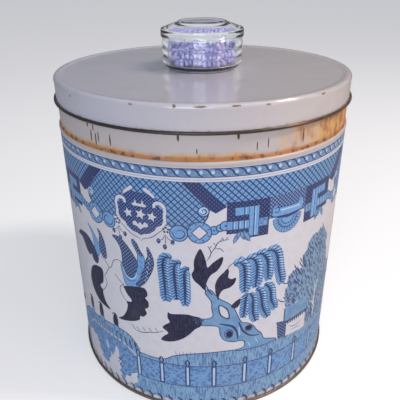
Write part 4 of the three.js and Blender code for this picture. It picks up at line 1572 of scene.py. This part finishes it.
@dataclass
class PrintedWall:
    """The rolled and printed wall with its bead, neck and rim curl."""

    columns: int = 200
    foot: float = 1.2
    bead_foot: float = 174.75
    neck_foot: float = 177.95
    neck_radius: float = 94.1
    bead_proud: float = 0.35
    curl_radius: float = 1.1
    rim: float = 206.95
    datum: float = 207.5
    closeness: float = 0.004

    def _back_path(self) -> Outline:
        """The wall's outline apart from the printed face, from the bead round to the foot.

        Returns:
            Radius and height of each point.
        """
        rise = self.neck_foot - self.bead_foot
        crown = [
            (WALL_RADIUS + self.bead_proud * math.sin(math.pi * s), self.bead_foot + rise * s)
            for s in (0.15, 0.3, 0.45, 0.6, 0.75)
        ]
        crown.append((WALL_RADIUS - 0.1, self.bead_foot + rise * 0.86))
        crown += corner(self.neck_radius, self.neck_foot, "0.15,-0.12 0,0")
        centre = (self.neck_radius - self.curl_radius, self.rim - self.curl_radius)
        outer = arc(centre, self.curl_radius, 0, 255, 14)
        inner = arc(centre, self.curl_radius - SHEET, 255, 0, 14)
        inside = [(self.neck_radius - SHEET, self.neck_foot), (WALL_RADIUS - SHEET, self.bead_foot)]
        inside += [(WALL_RADIUS - SHEET, self.foot), (WALL_RADIUS, self.foot)]
        start = [(WALL_RADIUS, self.bead_foot)]
        return start + crown + outer + inner + inside

    def _drawn_face(self) -> Object:
        """Makes the printed face, split along every outline of the print.

        Returns:
            The printed face as a mesh object.
        """
        girth = 2 * math.pi * WALL_RADIUS
        top, bottom = self.bead_foot - self.datum, self.foot - self.datum
        flat: list[Vector] = []
        edges: list[tuple[int, int]] = []
        for i in range(self.columns + 1):
            u = girth * (i / self.columns - 0.5)
            flat += [Vector((u, bottom)), Vector((u, top))]
            edges.append((2 * i, 2 * i + 1))
            if i:
                edges += [(2 * i - 2, 2 * i), (2 * i - 1, 2 * i + 1)]
        shapes = WillowPrint(girth).shapes
        for _, outline in shapes:
            first = len(flat)
            flat += [Vector(point) for point in outline]
            edges += [(first + k, first + (k + 1) % len(outline)) for k in range(len(outline))]
        found = delaunay_2d_cdt(flat, edges, [], 0, self.closeness, False)
        places = np.array([(p.x, p.y) for p in found[0]])
        triangles = np.array(found[2])
        inks = self._inks(places[triangles].mean(axis=1), shapes)
        turn = places[:, 0] / WALL_RADIUS
        across = np.sin(turn) * WALL_RADIUS * MM
        deep = -np.cos(turn) * WALL_RADIUS * MM
        solid = np.stack([across, deep, (places[:, 1] + self.datum) * MM], axis=1)
        mesh = bpy.data.meshes.new("printed_wall")
        mesh.from_pydata(solid.tolist(), [], triangles.tolist())
        mesh.polygons.foreach_set("material_index", inks)
        piece = bpy.data.objects.new("printed_wall", mesh)
        bpy.context.collection.objects.link(piece)
        return piece

    @staticmethod
    def _inks(centres: np.ndarray, shapes: list[tuple[Ink, Outline]]) -> list[int]:
        """Finds the ink of each triangle, the last shape that covers it.

        Args:
            centres: The triangles' centres.
            shapes: The print's inks and outlines in drawing order.

        Returns:
            Each triangle's ink as its place in the list of inks.
        """
        order = np.argsort(centres[:, 0])
        u, z = centres[order, 0], centres[order, 1]
        inks = np.zeros(len(centres), dtype=int)
        numbers = {ink: i for i, ink in enumerate(Ink)}
        for ink, outline in shapes:
            corners = np.array(outline)
            low, high = np.searchsorted(u, [corners[:, 0].min(), corners[:, 0].max()])
            some_u, some_z = u[low:high], z[low:high]
            odd = np.zeros(len(some_u), dtype=bool)
            for (u0, z0), (u1, z1) in zip(outline, outline[1:] + outline[:1]):
                if z0 != z1:
                    crosses = (z0 > some_z) != (z1 > some_z)
                    odd ^= crosses & (some_u < (u1 - u0) * (some_z - z0) / (z1 - z0) + u0)
            inks[order[low:high][odd]] = numbers[ink]
        return inks.tolist()

    def build(self) -> None:
        """Makes the wall."""
        back = turned("wall_back", self._back_path(), self.columns)
        neck, inside = len(Ink), len(Ink) + 1
        for face in back.data.polygons:
            middle = face.center / MM
            slope = (middle.z - self.bead_foot) / (self.neck_foot - self.bead_foot)
            skin = WALL_RADIUS + (self.neck_radius - WALL_RADIUS) * min(max(slope, 0.0), 1.0)
            shown = math.hypot(middle.x, middle.y) > skin - SHEET / 2 or middle.z > self.rim - 2.5
            face.material_index = neck if shown and middle.z > self.bead_foot else inside
        piece = self._drawn_face()
        tin = WornTin("tin_inside", (190, 184, 170), (158, 150, 134), roughness=0.34, rust_share=0.1)
        materials = [ink.value.material(ink.name.lower()) for ink in Ink]
        materials += [NeckFinish().material(), tin.material()]
        for material in materials:
            back.data.materials.append(material)
            piece.data.materials.append(material)
        only(piece)
        back.select_set(True)
        bpy.ops.object.join()
        bpy.ops.object.mode_set(mode="EDIT")
        merge_doubles()
        finished(piece, 35)
        seat(piece, "canister", "body_wall")


@dataclass
class Lid:
    """The slip-over lid: one stamping with a dished panel, a shoulder, a skirt and a curled hem."""

    hole_radius: float = 18.95
    panel_height: float = 206.55
    rim_height: float = 207.35
    rim_radius: float = 91.55
    slope_width: float = 2.4
    shoulder_radius: float = 2.05
    shoulder_centre: Point = (92.75, 205.3)
    skirt_radius: float = 94.6
    skirt_middle: float = 199.0
    hem_radius: float = 0.8
    hem_centre: float = 193.15
    hem_turn: float = 270
    steps: int = 160

    def path(self) -> Outline:
        """The middle of the sheet from the knob's hole to the end of the hem.

        Returns:
            Radius and height of each point.
        """
        foot = self.rim_radius - self.slope_width
        slope = corner(foot, self.panel_height, "-0.8,0.01 0,0.06 0.7,0.22")
        slope += corner(self.rim_radius, self.rim_height, "-0.7,-0.22 0,-0.06")
        width = foot - self.hole_radius
        panel = [(self.hole_radius + width * i / 6, self.panel_height) for i in range(6)]
        shoulder = arc(self.shoulder_centre, self.shoulder_radius, 90, 0, 8)
        skirt_top = self.shoulder_centre[1] - self.shoulder_radius * 0.6
        skirt = [(self.skirt_radius, skirt_top), (self.skirt_radius, self.skirt_middle)]
        centre = (self.skirt_radius + self.hem_radius, self.hem_centre)
        hem = arc(centre, self.hem_radius, 180, 180 + self.hem_turn, 12)
        return panel + slope + shoulder + skirt + hem

    def build(self) -> None:
        """Makes the lid's shell."""
        piece = turned("lid_stamping", self.path(), self.steps)
        # The curled hem below 194.3 mm is painted dark: rusted bare metal with painted shade over it.
        inside = WornTin("lid_inside", shade_and_rust_below=194.3, rust_share=0.2)
        thicken(piece, Enamel().material(), inside.material())
        finished(piece, 40)
        seat(piece, "lid", "lid_shell")


@dataclass
class Knob:
    """The upturned glass jar with its gasket and its crystals."""

    seat_height: float = 208.0
    height: float = 28.0
    top_radius: float = 14.7
    top_dish: float = 0.5
    foot_radius: float = 22.5
    foot_height: float = 2.2
    groove_radius: float = 25.2
    wall_radius: float = 26.5
    ring_bulge: float = 0.75
    ring_count: int = 3
    ring_pitch: float = 5.2
    shoulder_height: float = 22.6
    shoulder_round: float = 1.1
    glass: float = 2.4
    bore_radius: float = 15.5
    neck_radius: float = 17.9
    thread_depth: float = 0.7
    neck_length: float = 11.0
    thread_pitch: float = 4.23
    steps: int = 112
    granule_radius: float = 1.55
    granule_spacing: float = 2.75
    grain_top: float = 226.1
    core_edge: float = 225.2
    core_top: float = 225.6
    gasket: tuple[float, float, float, float] = (206.95, 207.75, 18.15, 21.97)
    seed: int = 11

    def _glass_outline(self) -> Outline:
        """The jar's outline, closed over the axis at both ends.

        Returns:
            Radius and height of each point, from the roof of the hollow round to the top.
        """
        hollow = self.groove_radius - self.glass
        roof = self.height - self.top_dish - self.glass
        shoulder = self.shoulder_height
        neck_end = -self.neck_length
        inside = [
            (0.0, roof),
            *corner(self.top_radius, roof, "-1.2,0 0,-0.15"),
            *corner(hollow, shoulder - self.glass / 2, "-0.8,0.3 0,-0.7"),
            *arc((hollow - 1.5, self.glass + 1.5), 1.5, 0, -90, 4),
            *corner(self.bore_radius, self.glass, "0.4,0 0,-0.4"),
            *corner(self.bore_radius, neck_end, "0,0.3 0.3,0"),
        ]
        neck = corner(self.neck_radius, neck_end, "-0.3,0 0,0.3")
        neck += self._thread() + corner(self.neck_radius, 0.0, "0,-0.5 0,0")
        foot = corner(self.foot_radius, 0.0, "0,0 0.7,0.2 1.9,1")
        foot.append((self.groove_radius - 0.15, self.foot_height - 0.3))
        rings: Outline = []
        for step in range(8 * self.ring_count):
            bulge = self.ring_bulge * math.sin(math.pi * (step % 8) / 8)
            rings.append((self.groove_radius + bulge, self.foot_height + step / 8 * self.ring_pitch))
        rings_top = self.foot_height + self.ring_count * self.ring_pitch
        wall = [
            *corner(self.groove_radius, rings_top, "0,0 0.5,0.25"),
            *corner(self.wall_radius, rings_top, "-0.2,0.8 0,1.3"),
            (self.wall_radius, shoulder - 0.4),
            *arc((self.wall_radius - self.shoulder_round, shoulder), self.shoulder_round, 10, 70, 4),
        ]
        top = [
            *corner(self.top_radius, self.height, "1.1,-0.75 0.5,-0.35"),
            *arc((self.top_radius, self.height - 0.45), 0.45, 60, 120, 3),
            (self.top_radius - 0.7, self.height - self.top_dish),
            (0.0, self.height - self.top_dish),
        ]
        outline = inside + neck + foot + rings + wall + top
        return [(radius, self.seat_height + rise) for radius, rise in outline]

    def _thread(self) -> Outline:
        """Two rounded ridges, which the neck's screw thread shows in section.

        Returns:
            Radius of each point and its height from the jar's seat.
        """
        points: Outline = []
        for turn in (2.0, 1.0):
            middle = -turn * self.thread_pitch - 0.6
            for share, swell in ((0.0, 0.0), (0.3, 1.0), (0.7, 1.0), (1.0, 0.0)):
                points.append((self.neck_radius + self.thread_depth * swell, middle - 0.9 + 1.8 * share))
        return points

    def _build_glass(self) -> None:
        """Makes the glass jar."""
        piece = turned("knob_jar", self._glass_outline(), self.steps)
        finished(piece, 50, PressedGlass().material())
        seat(piece, "lid", "knob_shell")

    def _places(self, draw: random.Random) -> list[Vector]:
        """Chooses where the granules that show lie.

        Args:
            draw: The random source.

        Returns:
            Their centres.
        """
        radius = self.granule_radius
        hollow = self.groove_radius - self.glass - radius - 0.1
        low = self.seat_height + self.glass + radius + 0.1
        top = self.grain_top
        rows = round((top - low) / (self.granule_spacing * 0.88))
        places = []
        for row in range(rows + 1):
            height = low + (top - low) * row / rows
            inner = 1.0 if row >= rows - 1 else hollow - 1.6 * self.granule_spacing
            ring = hollow
            while ring > inner:
                count = max(1, int(2 * math.pi * ring / self.granule_spacing))
                start = draw.random()
                for i in range(count):
                    turn = 2 * math.pi * (i + start + draw.uniform(-0.22, 0.22)) / count
                    reach = ring - draw.uniform(0.0, 0.7)
                    lift = draw.uniform(-0.75, 0.75) if 0 < row < rows else draw.uniform(-0.3, 0.9)
                    lift = max(lift, low - height)
                    places.append(Vector((reach * math.cos(turn), reach * math.sin(turn), height + lift)))
                ring -= self.granule_spacing * 0.86
        return places

    def _granule(self) -> Object:
        """Models one granule, a worn lump with blunt corners.

        Returns:
            The granule at the origin, to be copied.
        """
        deselect()
        bpy.ops.mesh.primitive_ico_sphere_add(subdivisions=1, radius=self.granule_radius * MM)
        granule = bpy.context.active_object
        bpy.ops.object.mode_set(mode="EDIT")
        bpy.ops.mesh.select_all(action="SELECT")
        bpy.ops.mesh.bevel(offset=0.42 * MM, affect="VERTICES", segments=1)
        bpy.ops.object.mode_set(mode="OBJECT")
        return granule

    def _build_crystals(self) -> None:
        """Fills the jar with granules round a plain core."""
        draw = random.Random(self.seed)
        base = self.seat_height
        hollow = self.groove_radius - self.glass
        core_path = [
            (0.0, base - self.neck_length + 0.1),
            (self.bore_radius - 0.4, base - self.neck_length + 0.1),
            (self.bore_radius - 0.4, base + self.glass + 0.6),
            (hollow - 2.6, base + self.glass + 2.0),
            (hollow - 2.6, self.core_edge),
            (0.0, self.core_top),
        ]
        bed = turned("crystal_bed", core_path, 48)
        granule = self._granule()
        copies = []
        for place in self._places(draw):
            angles = Euler([draw.uniform(0, 2 * math.pi) for _ in range(3)])
            size = draw.uniform(0.82, 1.08)
            stretch = Vector((size, size * draw.uniform(0.85, 1.1), size * draw.uniform(0.85, 1.1)))
            copy = granule.copy()
            copy.data = granule.data.copy()
            copy.data.transform(Matrix.LocRotScale(place * MM, angles, stretch))
            bpy.context.collection.objects.link(copy)
            copies.append(copy)
        bpy.data.objects.remove(granule)
        only(bed)
        for copy in copies:
            copy.select_set(True)
        bpy.ops.object.join()
        finished(bed, 42, Granules().material())
        seat(bed, "lid", "desiccant_crystals")

    def _build_gasket(self) -> None:
        """Makes the rubber ring between the glass and the lid."""
        low, high, inner, outer = self.gasket
        rim = corner(outer, low, "-0.25,0 0,0.2") + corner(outer, high, "0,-0.2 -0.25,0")
        piece = turned("knob_gasket_ring", [(inner, low), *rim, (inner, high)], self.steps, closed=True)
        rubber = Soft("gasket_rubber", (104, 104, 116), (124, 122, 130), 2.0, 0.06)
        finished(piece, 40, rubber.material())
        seat(piece, "lid", "knob_gasket")

    def build(self) -> None:
        """Makes the knob's pieces."""
        self._build_glass()
        self._build_crystals()
        self._build_gasket()


@dataclass
class VentCap:
    """The perforated screw cap under the lid and the felt disc that it carries."""

    plate_height: float = 195.45
    inner_radius: float = 18.95
    bend: float = 0.9
    flutes: int = 22
    flute_depth: float = 0.45
    rim_height: float = 206.15
    curl_radius: float = 0.7
    hole_radius: float = 1.3
    hole_field: float = 13.02
    punch_length: float = 4.0
    curl_drop: float = 0.85
    felt_low: float = 195.85
    felt_high: float = 196.75
    felt_radius: float = 18.7

    def _build_felt(self) -> None:
        """Makes the felt disc, a little soft at its edge."""
        low, high, radius = self.felt_low, self.felt_high, self.felt_radius
        rim = corner(radius, low, "-0.3,0 0,0.25") + corner(radius, high, "0,-0.25 -0.3,0")
        piece = turned("felt_pad", [(0.0, low), *rim, (0.0, high)], 64)
        felt = Soft("white_felt", (226, 220, 206), (198, 190, 176), 0.7, 0.18, 0.95)
        finished(piece, 50, felt.material())
        seat(piece, "felt", "felt_disc")

    def _cutter(self) -> Object:
        """Models the punches of the vent holes as one object.

        Returns:
            The cutter.
        """
        places = [(0.0, 0.0)]
        for ring in (1, 2):
            reach = self.hole_field * ring / 2
            places += arc((0.0, 0.0), reach, 0, 360, 6 * ring)[:-1]
        punches = []
        for x, y in places:
            deselect()
            place = (x * MM, y * MM, self.plate_height * MM)
            radius, depth = self.hole_radius * MM, self.punch_length * MM
            bpy.ops.mesh.primitive_cylinder_add(vertices=20, radius=radius, depth=depth, location=place)
            punches.append(bpy.context.active_object)
        for punch in punches:
            punch.select_set(True)
        bpy.ops.object.join()
        cutter = bpy.context.active_object
        bpy.ops.object.transform_apply(location=True, rotation=True, scale=True)
        return cutter

    def build(self) -> None:
        """Makes the felt disc and the cap."""
        self._build_felt()
        middle = self.inner_radius + SHEET / 2
        low = self.plate_height
        curl_centre = self.rim_height - self.curl_drop
        path = corner(0.0, low, "0,0 5,0 10,0 14,0")
        path += arc((middle - self.bend, low + self.bend), self.bend, -90, 0, 5)
        path += [(middle, low + self.bend + 0.6), (middle, curl_centre - 0.6)]
        path += arc((middle + self.curl_radius, curl_centre), self.curl_radius, 180, -60, 8)
        flats = 8 * self.flutes
        piece = turned("perforated_cap", path, flats)
        low_edge, high_edge = low + self.bend + 0.3, curl_centre - 0.3

        def on_ridge(place: Vector) -> bool:
            """Says whether a place is on one of the skirt's outward ridges."""
            line = round(math.atan2(place.y, place.x) / (2 * math.pi) * flats) % 8
            return low_edge < place.z < high_edge and line in (0, 1, 2, 7)

        select_vertices(piece, on_ridge)
        stretch = 1 + self.flute_depth / middle
        bpy.ops.transform.resize(value=(stretch, stretch, 1), center_override=(0, 0, 0))
        bpy.ops.object.mode_set(mode="OBJECT")
        tin = WornTin("cap_tin", (206, 204, 198), (150, 146, 138), roughness=0.3, rust_share=0.05).material()
        thicken(piece, tin, tin)
        cutter = self._cutter()
        apply_modifier(piece, "BOOLEAN", object=cutter, operation="DIFFERENCE", solver="EXACT")
        bpy.data.objects.remove(cutter)
        finished(piece, 35)
        seat(piece, "cap", "vent_cap")


@dataclass
class BaseEnd:
    """The stamped base, folded round the foot of the wall in a double seam."""

    pitch: float = 0.42
    wall_middle: float = 94.75
    hook: float = 0.9
    panel: float = 2.75
    ring_radius: float = 78.0
    steps: int = 160

    def build(self) -> None:
        """Makes the base."""
        chuck = self.wall_middle - self.pitch
        cover = self.wall_middle + self.pitch
        body = cover + self.pitch
        foot = (2 * self.pitch + SHEET / 2) * math.cos(math.pi / 10)
        fold = foot + self.hook
        path = corner(0.0, self.panel, "0,0 30,0 60,0")
        path += corner(self.ring_radius, self.panel, "-2.6,0 -1.9,0.35 -1.2,0.9 1.2,0.9 1.9,0.35 2.6,0")
        path += arc((chuck - 0.8, self.panel - 0.8), 0.8, 90, 0, 4)
        path += arc((cover, foot), 2 * self.pitch, 180, 360, 12)
        path += arc((body, fold), self.pitch, 0, 180, 6)
        path += [(cover, foot + self.hook * 0.31)]
        piece = turned("base_stamping", path, self.steps)
        bare = {"metallic": 0.45, "worn_share": 0.6, "rust_share": 0.25}
        under = WornTin("base_seam", (118, 108, 97), (94, 84, 74), **bare)
        lacquer = WornTin("base_lacquer", (196, 184, 152), (170, 156, 124), roughness=0.36, rust_share=0.08)
        thicken(piece, under.material(), lacquer.material())
        finished(piece, 40)
        seat(piece, "canister", "base_end")
        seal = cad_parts["base_seam_seal"]
        seal.data.materials.clear()
        seal.data.materials.append(Soft("seam_compound", (96, 90, 80), (76, 70, 62), 1.0, 0.05).material())


@dataclass(frozen=True)
class Lamp:
    """A soft lamp aimed at the tin; its level is the light on a white card that faces it there."""

    name: str
    place: tuple[float, float, float]
    size: float
    level: float
    tone: Tone
    wide: float = 1.0
    target: tuple[float, float, float] = (0.0, 0.0, 0.12)

    def hang(self) -> None:
        """Adds the lamp."""
        data = bpy.data.lights.new(self.name, "AREA")
        data.shape = "RECTANGLE"
        data.size = self.size * self.wide
        data.size_y = self.size
        data.color = paint(self.tone)[:3]
        place, target = Vector(self.place), Vector(self.target)
        data.energy = self.level * math.pi**2 * (place - target).length_squared
        lamp = bpy.data.objects.new(self.name, data)
        bpy.context.collection.objects.link(lamp)
        turn = (target - place).to_track_quat("-Z", "Y").to_matrix().to_4x4()
        lamp.matrix_world = Matrix.Translation(place) @ turn


@dataclass(frozen=True)
class Studio:
    """The camera at the photograph's angle, a plain pale floor and soft light."""

    eye: tuple[float, float, float] = (0.0, -0.3192, 0.269)
    yaw: float = -0.007
    pitch: float = 0.465
    roll: float = -0.008
    lens: float = 42.85
    floor_size: float = 12.0
    floor_shift: float = 3.0
    floor_tone: Tone = (206, 205, 204)
    floor_glow_tone: Tone = (236, 236, 240)
    floor_glow: float = 0.5
    ambient_tone: Tone = (238, 243, 255)
    ambient: float = 0.26
    backdrop_tone: Tone = (238, 238, 240)
    backdrop: float = 0.9
    lamps: tuple[Lamp, ...] = (
        Lamp("key", (0.74, -0.12, 0.98), 0.16, 0.53, (255, 244, 234)),
        Lamp("front", (-0.22, -1.45, 0.56), 0.9, 0.525, (238, 244, 255)),
        Lamp("side", (1.25, -0.85, 0.42), 0.7, 0.125, (255, 192, 132)),
        Lamp("gleam", (0.3, -0.5, 1.2), 0.14, 0.24, (250, 250, 255), 9.0),
    )

    def _camera(self) -> None:
        """Adds the camera."""
        sin, cos = math.sin, math.cos
        forward = Vector((sin(self.yaw) * cos(self.pitch), cos(self.yaw) * cos(self.pitch), -sin(self.pitch)))
        level = Vector((cos(self.yaw), -sin(self.yaw), 0.0))
        above = level.cross(forward)
        right = cos(self.roll) * level + sin(self.roll) * above
        up = -sin(self.roll) * level + cos(self.roll) * above
        camera = bpy.data.objects.new("camera", bpy.data.cameras.new("camera"))
        camera.data.lens = self.lens
        camera.data.sensor_width = 36.0
        camera.data.clip_start = 0.01
        turn = Matrix((right, up, -forward)).transposed().to_4x4()
        camera.matrix_world = Matrix.Translation(Vector(self.eye)) @ turn
        bpy.context.collection.objects.link(camera)
        bpy.context.scene.camera = camera

    @staticmethod
    def _seen(nodes: Tree) -> Value:
        """Marks the rays that the camera sees, straight or through the glass."""
        path = nodes.new("LightPath")
        return nodes.math("MAXIMUM", path.outputs["Is Camera Ray"], path.outputs["Is Transmission Ray"])

    def _floor(self) -> None:
        """Adds the pale floor."""
        deselect()
        bpy.ops.mesh.primitive_plane_add(size=self.floor_size, location=(0, self.floor_shift, 0))
        floor = bpy.context.active_object
        floor.name = "floor"
        material = bpy.data.materials.new("floor")
        material.use_nodes = True
        nodes = Tree(material.node_tree)
        shader = material.node_tree.nodes["Principled BSDF"]
        nodes.feed(shader.inputs["Base Color"], self.floor_tone)
        nodes.feed(shader.inputs["Roughness"], 0.8)
        nodes.feed(shader.inputs["Emission Color"], self.floor_glow_tone)
        nodes.feed(shader.inputs["Emission Strength"], self._seen(nodes) * self.floor_glow)
        floor.data.materials.append(material)

    def _world(self) -> None:
        """Adds the even light from all round, pale where it is seen."""
        world = bpy.data.worlds.new("studio")
        bpy.context.scene.world = world
        world.use_nodes = True
        nodes = Tree(world.node_tree)
        soft = world.node_tree.nodes["Background"]
        nodes.feed(soft.inputs[0], self.ambient_tone)
        nodes.feed(soft.inputs[1], self.ambient)
        pale = nodes.new("Background", {0: self.backdrop_tone, 1: self.backdrop})
        both = nodes.new("MixShader", {0: self._seen(nodes), 1: soft.outputs[0], 2: pale.outputs[0]})
        nodes.feed(world.node_tree.nodes["World Output"].inputs[0], both.outputs[0])

    def build(self) -> None:
        """Sets up the view, the floor and the light."""
        bpy.context.scene.view_settings.view_transform = "Standard"
        self._camera()
        self._floor()
        self._world()
        for lamp in self.lamps:
            lamp.hang()


def main() -> None:
    """Builds the studio and every piece of the canister."""
    logging.basicConfig(level=logging.INFO, format="%(name)s: %(message)s")
    Studio().build()
    BaseEnd().build()
    PrintedWall().build()
    Lid().build()
    Knob().build()
    VentCap().build()


if __name__ == "__main__":
    main()
